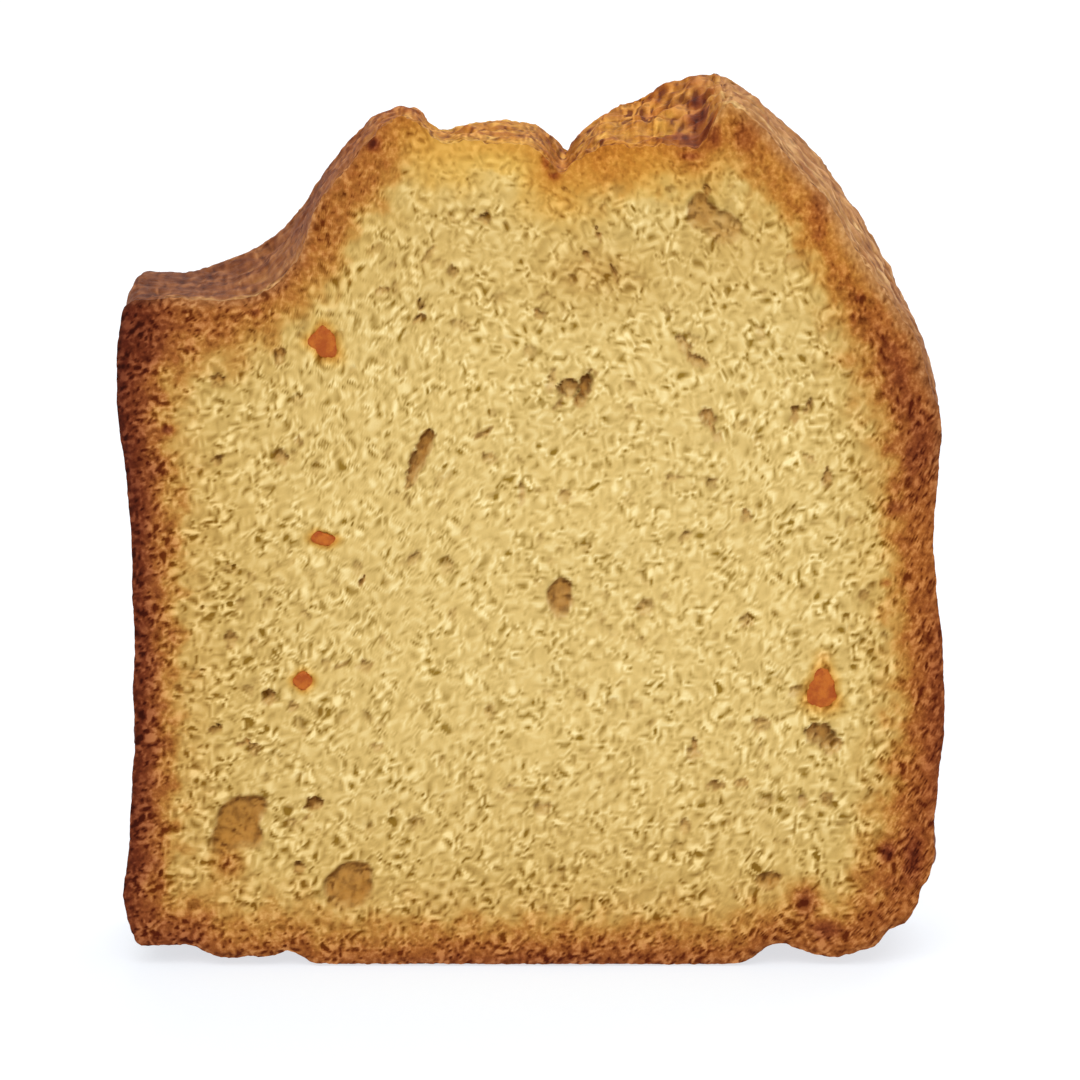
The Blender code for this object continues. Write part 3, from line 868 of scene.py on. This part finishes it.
def crust_spots(along, depth, perimeter):
    """What the listed spots add to the crust's heat and to its height, as soft bells."""
    heat, height = np.zeros_like(along), np.zeros_like(along)
    for x, z, at_depth, half_length, half_depth, hotter, higher in CRUST_SPOTS:
        nearest = np.hypot(*(RIM_FRONT - [x, z]).T).argmin()
        gap = (along - along[0, nearest] + perimeter / 2) % perimeter - perimeter / 2
        bell = np.exp(-((gap / half_length) ** 2) - ((depth - at_depth) / half_depth) ** 2)
        heat += hotter * bell
        height += higher * bell
    return heat, height


CRUST_HIDDEN_DEPTH = 3.0  # millimetres behind each cut, where the crust's hidden rows lie
CRUST_HIDDEN_SHARE = 0.955  # how wide they are, as a share of the cut
TEXTURE_REACH = 1.6  # millimetres that the cuts' texture laps onto the crust
NIBBLE_REACH = 9.0  # millimetres behind the front cut over which its nibbles die away


def crust_shell():
    """The outer crust as a closed ring, from the front cut's rim to the back cut's rim.

    Each row of points is the solid's outline at that depth, pushed along its normals by
    the crust's bumps. Rows lie closer together near the cuts, and two hidden rows inside
    close the ring.
    """
    share = np.linspace(0, 1, CRUST_ROWS)
    share = share - 0.10 * np.sin(4 * np.pi * share) / (2 * np.pi) * 2
    y = FRONT + THICKNESS * share
    rows = shell(y)
    normal = outward(rows)
    steps = np.hypot(*(np.roll(RIM_FRONT, -1, 0) - RIM_FRONT).T)
    spot = np.concatenate([[0.0], np.cumsum(steps)[:-1]])
    perimeter = steps.sum()
    s = np.broadcast_to(spot * SHEET_WIDTH / perimeter, rows.shape[:2])
    t = np.broadcast_to(y[:, None], rows.shape[:2])
    ahead, behind = t - FRONT, BACK - t
    near = np.minimum(ahead, behind)
    read = {name: read_sheet(SHEETS[name], 3 * s, t + 40) for name in ("middle", "lump", "clot", "fine")}
    crown = smooth_step(0.1, 0.5, normal[..., 1])
    own = crumb_tone(3 * s, 0.19 * t + 40, 1.1) * crown + crumb_tone(3 * s, 0.8 * t + 40, 0.8) * (1 - crown)
    shoulder = smooth_step(22.0, 28.0, RIM_FRONT[:, 0]) * smooth_step(55.0, 65.0, RIM_FRONT[:, 1])
    # Streaks as strong as the ashen crust, whose grey is partly a painted sheen.
    streak = 2.2 * ASH_AND_SHEEN * shoulder * read_sheet(SHEETS["clot"], s, t + 90)
    streak += 1.3 * ASH_AND_SHEEN * (1 - shoulder) * read_sheet(SHEETS["clot"], 3 * s, 0.45 * t + 70)
    seam = np.where(ahead < behind, seam_tone(rows, normal, ahead, 0.0),
                    seam_tone(rows, normal, behind, BACK_SHIFT))
    blend = np.exp(-((near / TEXTURE_REACH) ** 2))
    own = own * (0.55 + 0.7 * LUMP) * (1 - 0.5 * ASH_AND_SHEEN) * (1 - 0.7 * shoulder) * (0.6 + 0.4 * crown)
    tone = (own + 0.16 * streak + 0.08 * read["lump"]) * (1 - blend) + seam * blend
    bumps = (0.06 * read["middle"] + 0.03 * read["clot"]) * (0.25 + LUMP)
    bumps = bumps + 0.02 * read["fine"] + 0.04 * streak
    lumps = LUMP[None] * (0.18 * read["lump"] + 0.05 * read["clot"] + 0.06 * own)
    spot_heat, spot_height = crust_spots(np.broadcast_to(spot, rows.shape[:2]), ahead, perimeter)
    settle = smooth_step(0.0, 1.4, near)
    push = np.where(ahead < behind, PUSH_FRONT, PUSH_BACK)
    nibble = NIBBLE * np.exp(-((ahead / NIBBLE_REACH) ** 2))
    height = (bumps + lumps + spot_height + nibble - INSET * 0.6) * settle + push * (1 - settle)
    moved = rows + normal * height[..., None]
    moved[..., 1] = np.maximum(moved[..., 1], 0.0)
    moved[0], moved[-1] = EDGE_FRONT, EDGE_BACK
    y_rows = t + DROP_FRONT * np.exp(-ahead / 1.2) - DROP_BACK * np.exp(-behind / 1.2)
    y_rows[0], y_rows[-1] = FRONT + DROP_FRONT, BACK - DROP_BACK
    outer = np.stack([moved[..., 0], y_rows, moved[..., 1]], -1)
    inner = []
    for rim, depth in ((EDGE_BACK, BACK - CRUST_HIDDEN_DEPTH), (EDGE_FRONT, FRONT + CRUST_HIDDEN_DEPTH)):
        small = MIDDLE + (rim - MIDDLE) * CRUST_HIDDEN_SHARE
        inner.append(np.stack([small[:, 0], np.full(COUNT, depth), small[:, 1]], -1))
    points = np.concatenate([outer, inner]).reshape(-1, 3)
    total = CRUST_ROWS + 2
    faces = grid_faces(total, COUNT, closed=True)[:, ::-1]
    last = (total - 1) * COUNT + np.arange(COUNT)
    back_on = np.arange(COUNT)
    closing = np.stack([last, np.roll(last, -1), np.roll(back_on, -1), back_on], -1)[:, ::-1]
    faces = np.concatenate([faces, closing])
    deep = smooth_step(0.0, 1.0, ahead / THICKNESS)
    heat = CRUST_FRONT + (CRUST_BACK - CRUST_FRONT) * deep + 0.05 * read["middle"] + 0.03 * read["clot"]
    turned = np.exp(-((near / (0.5 + LAP)) ** 2))
    spread = {
        "bake": heat * (1 - turned) + EDGE_HEAT * turned + spot_heat,
        "gold": np.broadcast_to(GOLD, height.shape),
        "ash_and_sheen": np.broadcast_to(ASH_AND_SHEEN, height.shape),
        "tone": tone,
    }
    hidden = np.zeros(2 * COUNT)
    layers = {key: np.concatenate([value.ravel(), hidden]) for key, value in spread.items()}
    piece = add_mesh("outer_crust", points, faces.tolist(), layers)
    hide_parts(NODE)
    piece.data.set_sharp_from_angle(angle=SHARP_EDGE)
    add_bake_map(piece, crust_map(total))
    return piece


def seam_tone(rows, normal, depth, shift):
    """The cut's own texture carried over its edge onto the crust, as if unfolded."""
    flat = rows + normal * depth[..., None]
    return 1.2 * crumb_tone(flat[..., 0] + shift, flat[..., 1] + 2 * shift, 1.0, 1.0)


def crust_map(total):
    """Four strips on the map, one for each side of the slice, and a thin one for what is hidden."""
    places = []
    starts = np.cumsum([0, ACROSS, UPWARD, ACROSS, UPWARD])
    column = np.arange(COUNT)
    side = np.searchsorted(starts, column, side="right") - 1
    cells = np.diff(starts)[side]
    left = (column - starts[side]) / cells
    right = (column + 1 - starts[side]) / cells
    for row in range(total - 1):
        low, high = row / (CRUST_ROWS - 1), (row + 1) / (CRUST_ROWS - 1)
        if high > 1:
            low = high = 1.0
        v0 = 0.02 + 0.98 * (side + 0.02 + 0.96 * low) / 4
        v1 = 0.02 + 0.98 * (side + 0.02 + 0.96 * high) / 4
        if low == high:
            v0, v1 = np.full(COUNT, 0.002), np.full(COUNT, 0.008)
        corners = [(left, v0), (right, v0), (right, v1), (left, v1)][::-1]
        places.append(np.stack([np.stack(c, -1) for c in corners], 1))
    closing = np.stack([np.stack([left, np.full(COUNT, 0.01)], -1)] * 4, 1)
    places.append(closing)
    return np.concatenate(places).reshape(-1, 2)


# ---------------------------------------------------------------- candied peel
PEEL_RINGS = 9
PEEL_SIDES = 24
PEEL_PROUD, PEEL_DEEP = 0.22, 1.2  # millimetres that a bit stands above its middle and reaches below
PEEL_SUNK = 0.16  # millimetres that its middle lies below the cut
PEEL_SEED = 300


def peel_bit(x, z, radii, y_cut, inwards, shift, seed):
    """A bit of candied peel set in a cut: a ball with its own outline, nearly flat where it shows.

    Its points follow a ball whose sine is raised to a power below one, which squares its
    edge, times the outline's reach in each direction.
    """
    rng = np.random.default_rng(seed)
    down = np.linspace(0, np.pi, PEEL_RINGS)[1:-1, None]
    turn = np.linspace(0, 2 * np.pi, PEEL_SIDES, endpoint=False)[None]
    reach = peel_outline(turn, radii) * np.sin(down) ** 0.6
    a, b = reach * np.cos(turn), reach * np.sin(turn)
    c = np.cos(down) + rng.uniform(-0.10, 0.10, a.shape)
    rows = np.stack([a, b, c], -1).reshape(-1, 3)
    local = np.concatenate([rows, [[0.0, 0.0, 1.0], [0.0, 0.0, -1.0]]])
    proud = np.where(local[:, 2] > 0, PEEL_PROUD, PEEL_DEEP) * local[:, 2]
    surface = knife_wave(np.array([x]), np.array([z]), shift)[0]
    py = y_cut + inwards * (surface + PEEL_SUNK - proud)
    points = np.stack([x + local[:, 0], py, z + local[:, 1]], -1)
    faces = grid_faces(PEEL_RINGS - 2, PEEL_SIDES, closed=True).tolist()
    side = np.arange(PEEL_SIDES)
    top, bottom = len(rows), len(rows) + 1
    last = (PEEL_RINGS - 3) * PEEL_SIDES
    faces += [[top, int((i + 1) % PEEL_SIDES), int(i)] for i in side]
    faces += [[bottom, last + int(i), last + int((i + 1) % PEEL_SIDES)] for i in side]
    if inwards > 0:
        faces = [face[::-1] for face in faces]
    return points, faces


def peel_bits():
    """All bits of peel of both cuts, joined as one piece."""
    points, faces = [], []
    sides = ((FRONT, 1, 0.0, FRONT_PEEL), (BACK, -1, BACK_SHIFT, BACK_PEEL))
    for y_cut, inwards, shift, bits in sides:
        for number, bit in enumerate(bits):
            made, quads = peel_bit(*bit, y_cut, inwards, shift, PEEL_SEED + number)
            start = sum(len(p) for p in points)
            points.append(made)
            faces += [[start + i for i in face] for face in quads]
    piece = add_mesh("candied_peel", np.concatenate(points), faces, {})
    rounder = piece.modifiers.new("Rounder", "SUBSURF")
    rounder.levels = rounder.render_levels = 2
    return piece


# ---------------------------------------------------------------- materials
class Number:
    """A number in a material's nodes, so that sums and products can be written out."""

    def __init__(self, finish, socket):
        self.finish, self.socket = finish, socket

    def _with(self, operation, *others):
        return self.finish.node("ShaderNodeMath", {"operation": operation}, [self, *others])

    def __add__(self, other):
        return self._with("ADD", other)

    def __sub__(self, other):
        return self._with("SUBTRACT", other)

    def __mul__(self, other):
        return self._with("MULTIPLY", other)

    def __radd__(self, other):
        return self + other

    def __rmul__(self, other):
        return self * other

    def __rsub__(self, other):
        return self * -1 + other

    def step(self, low, high, kind="SMOOTHSTEP"):
        """0 at low and 1 at high, or the other way round, with an S curve or a line between."""
        values = {"Value": self, "From Min": low, "From Max": high}
        return self.finish.node("ShaderNodeMapRange", {"interpolation_type": kind}, values)


class Finish:
    """One material: node() adds any node, and the rest are short forms of it."""

    def __init__(self, name):
        self.material = bpy.data.materials.new(name)
        self.material.use_nodes = True
        self.tree = self.material.node_tree
        self.surface = self.tree.nodes["Principled BSDF"]
        place = self.node("ShaderNodeTexCoord", out="Object", wrap=False)
        to_millimetres = {"Vector": place, "Scale": (1 / MM,) * 3}
        self.place = self.node("ShaderNodeMapping", {}, to_millimetres, wrap=False)

    def put(self, socket, value):
        """Links a value that varies to a socket, or sets a plain one on it."""
        value = value.socket if isinstance(value, Number) else value
        if isinstance(value, bpy.types.NodeSocket):
            self.tree.links.new(value, socket)
        else:
            socket.default_value = value

    def node(self, kind, settings=None, values=(), out=0, wrap=True):
        """Adds a node: its settings first, then its sockets, by number or by name."""
        made = self.tree.nodes.new(kind)
        settings = dict(settings or {})
        stops = settings.pop("stops", None)
        for key, value in settings.items():
            setattr(made, key, value)
        if stops:
            ramp = made.color_ramp
            while len(ramp.elements) < len(stops):
                ramp.elements.new(1.0)
            for element, (position, colour) in zip(ramp.elements, stops):
                element.position = position
                element.color = (*colour, 1.0)
        pairs = values.items() if isinstance(values, dict) else enumerate(values)
        for key, value in pairs:
            self.put(made.inputs[key], value)
        socket = made.outputs[out]
        return Number(self, socket) if wrap else socket

    def noise(self, scale, detail=2.0, roughness=0.5, place=None):
        """Noise with this many waves a millimetre, from 0 to 1."""
        values = {"Vector": place or self.place, "Scale": scale, "Detail": detail, "Roughness": roughness}
        return self.node("ShaderNodeTexNoise", {}, values, out="Fac")

    def cells(self, scale):
        """The distance to the nearest of this many scattered points a millimetre."""
        return self.node("ShaderNodeTexVoronoi", {}, {"Vector": self.place, "Scale": scale}, out="Distance")

    def value(self, name):
        """The mesh's own number of this name."""
        return self.node("ShaderNodeAttribute", {"attribute_name": name}, out="Fac")

    def ramp(self, factor, stops):
        return self.node("ShaderNodeValToRGB", {"stops": stops}, [factor], wrap=False)

    def mix(self, factor, a, b, blend="MIX"):
        made = self.tree.nodes.new("ShaderNodeMix")
        made.data_type, made.blend_type = "RGBA", blend
        self.put(made.inputs[0], factor)
        for socket, colour in ((made.inputs[6], a), (made.inputs[7], b)):
            self.put(socket, colour if isinstance(colour, bpy.types.NodeSocket) else (*colour, 1.0))
        return made.outputs[2]

    def bump(self, height, distance, strength):
        values = {"Height": height, "Distance": distance, "Strength": strength}
        return self.node("ShaderNodeBump", {}, values, wrap=False)

    def done(self, colour, roughness, normal, **plain):
        """Links what varies to the shader, sets its plain numbers, and gives the material."""
        self.put(self.surface.inputs["Base Color"], colour)
        self.put(self.surface.inputs["Roughness"], roughness)
        self.put(self.surface.inputs["Normal"], normal)
        for name, value in plain.items():
            self.surface.inputs[name.replace("_", " ")].default_value = value
        return self.material


def srgb(red, green, blue):
    """A colour given as 0 to 255 on screen, in the linear numbers that shaders use."""
    parts = np.array([red, green, blue]) / 255.0
    return tuple(np.where(parts <= 0.04045, parts / 12.92, ((parts + 0.055) / 1.055) ** 2.4).tolist())


LIGHT_GAIN = 1.07  # how much brighter than its own colour the studio shows the front cut

# Heat, then the colours of pits (darkened partly as painted shade), body and ridges (painted highlights)
# from crumb to burnt crust.
CRUMB_TONES = (
    (0.00, (146, 113, 38), (220, 188, 116), (250, 228, 165)),
    (0.12, (136, 98, 28), (206, 170, 97), (242, 210, 140)),
    (0.25, (126, 78, 14), (194, 146, 73), (230, 184, 112)),
    (0.38, (114, 60, 8), (180, 123, 55), (216, 160, 92)),
    (0.52, (98, 40, 4), (161, 96, 42), (198, 134, 76)),
    (0.70, (80, 24, 3), (136, 71, 33), (174, 106, 62)),
    (0.86, (62, 15, 2), (110, 48, 22), (146, 80, 46)),
    (1.00, (46, 8, 1), (86, 31, 14), (120, 58, 34)),
)
# The same for crust that dried in the open and turned ashen, greyer also as a painted sheen on the crown's
# receding surfaces.
ASHEN_SHEEN_TONES = (
    (0.00, (160, 118, 74), (220, 176, 126), (246, 212, 170)),
    (0.25, (136, 90, 50), (196, 148, 100), (226, 184, 140)),
    (0.45, (108, 62, 30), (166, 114, 72), (200, 152, 110)),
    (0.65, (82, 42, 16), (134, 82, 47), (170, 118, 74)),
    (0.82, (60, 26, 10), (106, 62, 35), (142, 94, 58)),
    (1.00, (44, 16, 8), (80, 42, 28), (114, 70, 50)),
)
# Tones at which the pits, with their painted shade, and the ridges, painted highlights, have their full
# colour.
SHADED_PIT_TONE, RIDGE_HIGHLIGHT_TONE = 0.75, 0.45  # tones at which pits and ridges have their full colour


def toned(f, heat, tone, tones):
    """The colour at this heat, from that of the pits, partly painted shade, through that of the body to the
    ridges, painted highlights.
    """
    stops = [[(row[0], tuple(part / LIGHT_GAIN for part in srgb(*row[1 + k]))) for row in tones]
             for k in range(3)]
    shaded_pits, body, ridge_highlights = (f.ramp(heat, row) for row in stops)
    colour = f.mix(tone.step(0.0, -SHADED_PIT_TONE, "LINEAR"), body, shaded_pits)
    return f.mix(tone.step(0.0, RIDGE_HIGHLIGHT_TONE, "LINEAR"), colour, ridge_highlights)


def crumb_finish(settings):
    """Crumb: pale yellow with fine olive pits, their darkness partly painted shade, and cream ridges,
    painted highlights, browned towards the rim.
    """
    f = Finish("crumb")
    bake, gold, hole = f.value("bake"), f.value("gold"), f.value("hole")
    fine = f.noise(2.4, 2.0) - 0.5
    wander = f.noise(1.1, 3.0, 0.6) - 0.5
    heat = bake + wander * 0.22 * bake.step(0.05, 0.4) + (f.noise(0.09, 2.0) - 0.5) * 0.06
    tone = f.value("tone") + fine * (0.10 + bake.step(0.15, 0.5) * 1.1)
    colour = toned(f, heat, tone, CRUMB_TONES)
    colour = f.mix(gold * heat.step(0.0, 0.1), colour, tuple(settings.golden), "MULTIPLY")
    colour = f.mix(f.value("ash_and_sheen"), colour, toned(f, heat, tone, ASHEN_SHEEN_TONES))
    # Inside the air holes the colour darkens where the tone is low, including the painted shade under their
    # top edges; the holes' brown is partly their walls' own colour and partly painted shade.
    shaded = (tone * 1.6 + wander * 1.6).step(0.5, -0.8)
    inner = f.mix(shaded, tuple(settings.hole), tuple(settings.hole_deep))
    colour = f.mix(hole * 0.9, colour, inner)
    normal = f.bump(fine, 0.10 * MM, 0.6)
    return f.done(colour, 0.85 - hole * 0.25, normal, Specular_IOR_Level=0.08)


def crust_finish(settings):
    """Crust: brown where it met the tin, golden and ashen over the crown, the ashen grey partly a painted
    sheen, with dark burnt spots.
    """
    f = Finish("crust")
    shallow = f.node("ShaderNodeMapping", {}, {"Vector": f.place, "Scale": (1.0, 0.5, 1.0)}, wrap=False)
    fine = f.noise(2.2, 3.0, 0.6, place=shallow) - 0.5
    blotch = f.noise(0.16, 3.0, 0.6) - 0.5
    speck = f.noise(0.8, 2.0, 0.6, place=shallow) - 0.5
    heat = f.value("bake") + blotch * 0.16 + speck * 0.14
    gold = f.value("gold")
    tone = f.value("tone") + fine * (0.2 + gold * 0.6)
    colour = toned(f, heat, tone, CRUMB_TONES)
    colour = f.mix(gold, colour, tuple(settings.golden), "MULTIPLY")
    colour = f.mix(f.value("ash_and_sheen"), colour, toned(f, heat, tone, ASHEN_SHEEN_TONES))
    spots = f.cells(0.55)
    pore = (spots - f.noise(0.4, 1.0) * 0.5).step(0.05, -0.12)
    colour = f.mix(pore * 0.35, colour, tuple(settings.burnt))
    normal = f.bump(fine * 0.6 - pore * 0.35, 0.3 * MM, 0.7)
    return f.done(colour, 0.62 + fine * 0.2, normal, Specular_IOR_Level=0.06)


def peel_finish(settings):
    """Candied peel: clear orange, paler where it is thin, with a sugary gloss."""
    f = Finish("peel")
    cloud = f.noise(0.9, 3.0, 0.55).step(0.35, 0.68)
    colour = f.mix(cloud, tuple(settings.peel_deep), tuple(settings.peel_pale))
    normal = f.bump(f.noise(2.2, 2.0), 0.3 * MM, 0.6)
    return f.done(colour, 0.45, normal, Specular_IOR_Level=0.2)


# ---------------------------------------------------------------- settings
def colour_property(name, description, colour):
    return bpy.props.FloatVectorProperty(name=name, description=description, subtype="COLOR",
                                         size=3, min=0.0, max=2.0, default=colour)


class CrumbSettings(bpy.types.PropertyGroup):
    """Colours and pores of the two cuts."""

    golden: colour_property("Golden tint", "Tint of the crumb under the crown", (1.14, 0.98, 0.58))
    hole: colour_property("Air hole", "Colour inside the air holes", srgb(172, 116, 42))
    hole_deep: colour_property("Air hole shade", "Darker colour inside the air holes", srgb(106, 56, 8))
    small_holes: bpy.props.IntProperty(name="Small air holes", default=420, min=0, max=2000,
                                       description="Number of small air holes in a cut")
    seed: bpy.props.IntProperty(name="Seed", description="Start of the random placing", default=7)


class CrustSettings(bpy.types.PropertyGroup):
    """Colours of the outer crust."""

    golden: colour_property("Golden tint", "Tint of the crust's golden places", (1.14, 0.98, 0.58))
    burnt: colour_property("Burnt spots", "Colour of the darkest spots", srgb(78, 34, 20))


class PeelSettings(bpy.types.PropertyGroup):
    """Colours of the candied peel."""

    peel_deep: colour_property("Peel", "Main colour of the peel", srgb(160, 72, 10))
    peel_pale: colour_property("Pale peel", "Colour where the peel is thin", srgb(186, 100, 26))


class StudioSettings(bpy.types.PropertyGroup):
    """Camera, light and floor."""

    distance: bpy.props.FloatProperty(name="Camera distance", description="From the front cut", default=0.5,
                                      unit="LENGTH", min=0.1)
    elevation: bpy.props.FloatProperty(name="Camera height angle", description="Angle above level",
                                       subtype="ANGLE", default=math.radians(10.0))
    view_width: bpy.props.FloatProperty(name="View width", description="Width of the view at the front cut",
                                        default=0.11836, unit="LENGTH", min=0.01)
    key: bpy.props.FloatProperty(name="Front light", description="Strength of the light from the front",
                                 default=1.5, min=0.0)
    level: bpy.props.FloatProperty(name="Level light", description="Brightness all round at eye level",
                                   default=1.0, min=0.0)
    overhead: bpy.props.FloatProperty(name="Overhead light", description="Brightness from above",
                                      default=0.55, min=0.0)
    floor: colour_property("Floor", "Colour of the floor", (0.34, 0.34, 0.35))


# ---------------------------------------------------------------- operators
class CAKE_OT_front_cut(bpy.types.Operator):
    """Make the front cut with its crumb, air holes and browned rim"""

    bl_idname = "cake.front_cut"
    bl_label = "Front cut"

    def execute(self, context):
        settings = context.scene.cake_crumb
        scatter = scattered_holes(settings.seed, settings.small_holes, EDGE_FRONT)
        piece = cut_face("front_cut", EDGE_FRONT, DROP_FRONT, FRONT, 1, FRONT_HOLES, FRONT_PEEL,
                         scatter, 0.0)
        piece.data.materials.append(crumb_finish(settings))
        return {"FINISHED"}


class CAKE_OT_back_cut(bpy.types.Operator):
    """Make the back cut, with other air holes in the same crumb"""

    bl_idname = "cake.back_cut"
    bl_label = "Back cut"

    def execute(self, context):
        settings = context.scene.cake_crumb
        scatter = scattered_holes(settings.seed + 1, settings.small_holes, EDGE_BACK)
        piece = cut_face("back_cut", EDGE_BACK, DROP_BACK, BACK, -1, BACK_HOLES, BACK_PEEL,
                         scatter, BACK_SHIFT)
        piece.data.materials.append(bpy.data.objects["front_cut"].data.materials[0])
        return {"FINISHED"}


class CAKE_OT_crust(bpy.types.Operator):
    """Make the outer crust between the two cuts"""

    bl_idname = "cake.crust"
    bl_label = "Outer crust"

    def execute(self, context):
        crust_shell().data.materials.append(crust_finish(context.scene.cake_crust))
        return {"FINISHED"}


class CAKE_OT_peel(bpy.types.Operator):
    """Set the bits of candied peel into the two cuts"""

    bl_idname = "cake.peel"
    bl_label = "Candied peel"

    def execute(self, context):
        peel_bits().data.materials.append(peel_finish(context.scene.cake_peel))
        return {"FINISHED"}


class CAKE_OT_studio(bpy.types.Operator):
    """Set up the pale floor, the soft light and the camera"""

    bl_idname = "cake.studio"
    bl_label = "Studio"

    def execute(self, context):
        studio(context.scene, context.scene.cake_studio)
        return {"FINISHED"}


FLOOR_SIDES = 48
FLOOR_RINGS = (0.3, 1.0, 3.0, 9.0)  # metres
FLOOR_GLOW = 0.72


def floor_sheet(colour):
    """A level round floor: rings of points about the slice, closed by a fan at the middle."""
    turn = np.linspace(0, 2 * np.pi, FLOOR_SIDES, endpoint=False)
    reach = np.array(FLOOR_RINGS)[:, None]
    rings = np.stack([reach * np.cos(turn), reach * np.sin(turn), 0 * reach * turn], -1).reshape(-1, 3)
    points = np.concatenate([rings, np.zeros((1, 3))])
    spokes = np.arange(FLOOR_SIDES)
    fan = np.stack([np.full(FLOOR_SIDES, len(rings)), spokes, np.roll(spokes, -1)], -1)
    quads = grid_faces(len(FLOOR_RINGS), FLOOR_SIDES, closed=True)[:, ::-1]
    mesh = bpy.data.meshes.new("studio_floor")
    mesh.from_pydata(points.tolist(), [], [*quads.tolist(), *fan.tolist()])
    floor = bpy.data.objects.new("studio_floor", mesh)
    bpy.context.scene.collection.objects.link(floor)
    f = Finish("studio_floor")
    f.surface.inputs["Base Color"].default_value = (*colour, 1.0)
    f.surface.inputs["Roughness"].default_value = 0.9
    f.surface.inputs["Emission Color"].default_value = (0.9, 0.95, 1.0, 1.0)
    f.surface.inputs["Emission Strength"].default_value = FLOOR_GLOW
    mesh.materials.append(f.material)


SKY_TURNS = (0.10, 0.30)  # the sine of the heights between which the level light gives way


def sky(scene, level, overhead):
    """Light from all round: this bright at eye level, and this bright from above."""
    world = bpy.data.worlds.new("studio")
    world.use_nodes = True
    nodes, links = world.node_tree.nodes, world.node_tree.links
    way = nodes.new("ShaderNodeTexCoord")
    parts = nodes.new("ShaderNodeSeparateXYZ")
    height = nodes.new("ShaderNodeMapRange")
    height.interpolation_type = "SMOOTHSTEP"
    values = dict(zip(("From Min", "From Max", "To Min", "To Max"), (*SKY_TURNS, level, overhead)))
    for name, value in values.items():
        height.inputs[name].default_value = value
    links.new(way.outputs["Generated"], parts.inputs[0])
    links.new(parts.outputs["Z"], height.inputs["Value"])
    links.new(height.outputs[0], nodes["Background"].inputs["Strength"])
    nodes["Background"].inputs["Color"].default_value = (1.0, 1.0, 1.0, 1.0)
    scene.world = world


# Each light: its turn from the front and its height above level in degrees, and its
# strength as a share of the front light's.
SUNS = {"front_light": (-12.0, 48.0, 1.0), "back_light": (160.0, 50.0, 0.8)}
SUN_WIDTH = math.radians(50.0)
CAMERA_AIM = (0.78, 48.3)  # x and z in millimetres, on the front cut
SENSOR_WIDTH = 36.0


def soft_sun(name, turn, rise, strength):
    """A wide soft light from far away, at this turn from the front and this angle above level."""
    data = bpy.data.lights.new(name, "SUN")
    data.angle = SUN_WIDTH
    data.energy = strength
    light = bpy.data.objects.new(name, data)
    light.rotation_euler = (math.pi / 2 - rise, 0.0, turn)
    bpy.context.scene.collection.objects.link(light)


def studio(scene, settings):
    """The floor, the light all round, a front and a back light, and the camera."""
    floor_sheet(tuple(settings.floor))
    sky(scene, settings.level, settings.overhead)
    for name, (turn, rise, share) in SUNS.items():
        soft_sun(name, math.radians(turn), math.radians(rise), settings.key * share)

    camera = bpy.data.objects.new("camera", bpy.data.cameras.new("camera"))
    camera.data.sensor_width = SENSOR_WIDTH
    camera.data.lens = SENSOR_WIDTH * settings.distance / settings.view_width
    aim = Vector((CAMERA_AIM[0], FRONT, CAMERA_AIM[1])) * MM
    level, rise = math.cos(settings.elevation), math.sin(settings.elevation)
    camera.location = aim + Vector((0.0, -level, rise)) * settings.distance
    camera.rotation_euler = (math.pi / 2 - settings.elevation, 0.0, 0.0)
    camera.data.clip_start = 0.01
    scene.collection.objects.link(camera)
    scene.camera = camera
    scene.view_settings.view_transform = "Standard"


class CAKE_PT_panel(bpy.types.Panel):
    """Buttons and settings for the pound cake slice"""

    bl_idname = "CAKE_PT_panel"
    bl_label = "Pound Cake Slice"
    bl_space_type = "VIEW_3D"
    bl_region_type = "UI"
    bl_category = "Cake"

    def draw(self, context):
        for operator in OPERATORS:
            self.layout.operator(operator.bl_idname)
        for key, group in GROUPS.items():
            box = self.layout.box()
            box.label(text=group.__doc__)
            settings = getattr(context.scene, key)
            for name in group.__annotations__:
                box.prop(settings, name)


OPERATORS = (CAKE_OT_front_cut, CAKE_OT_back_cut, CAKE_OT_crust, CAKE_OT_peel, CAKE_OT_studio)
GROUPS = {"cake_crumb": CrumbSettings, "cake_crust": CrustSettings, "cake_peel": PeelSettings,
          "cake_studio": StudioSettings}


def register():
    for made in (*GROUPS.values(), *OPERATORS, CAKE_PT_panel):
        bpy.utils.register_class(made)
    for key, group in GROUPS.items():
        setattr(bpy.types.Scene, key, bpy.props.PointerProperty(type=group))


def unregister():
    for key in GROUPS:
        delattr(bpy.types.Scene, key)
    for made in (CAKE_PT_panel, *OPERATORS[::-1], *list(GROUPS.values())[::-1]):
        bpy.utils.unregister_class(made)


def main():
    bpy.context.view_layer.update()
    register()
    bpy.ops.cake.front_cut()
    bpy.ops.cake.back_cut()
    bpy.ops.cake.crust()
    bpy.ops.cake.peel()
    bpy.ops.cake.studio()


if __name__ == "__main__":
    main()
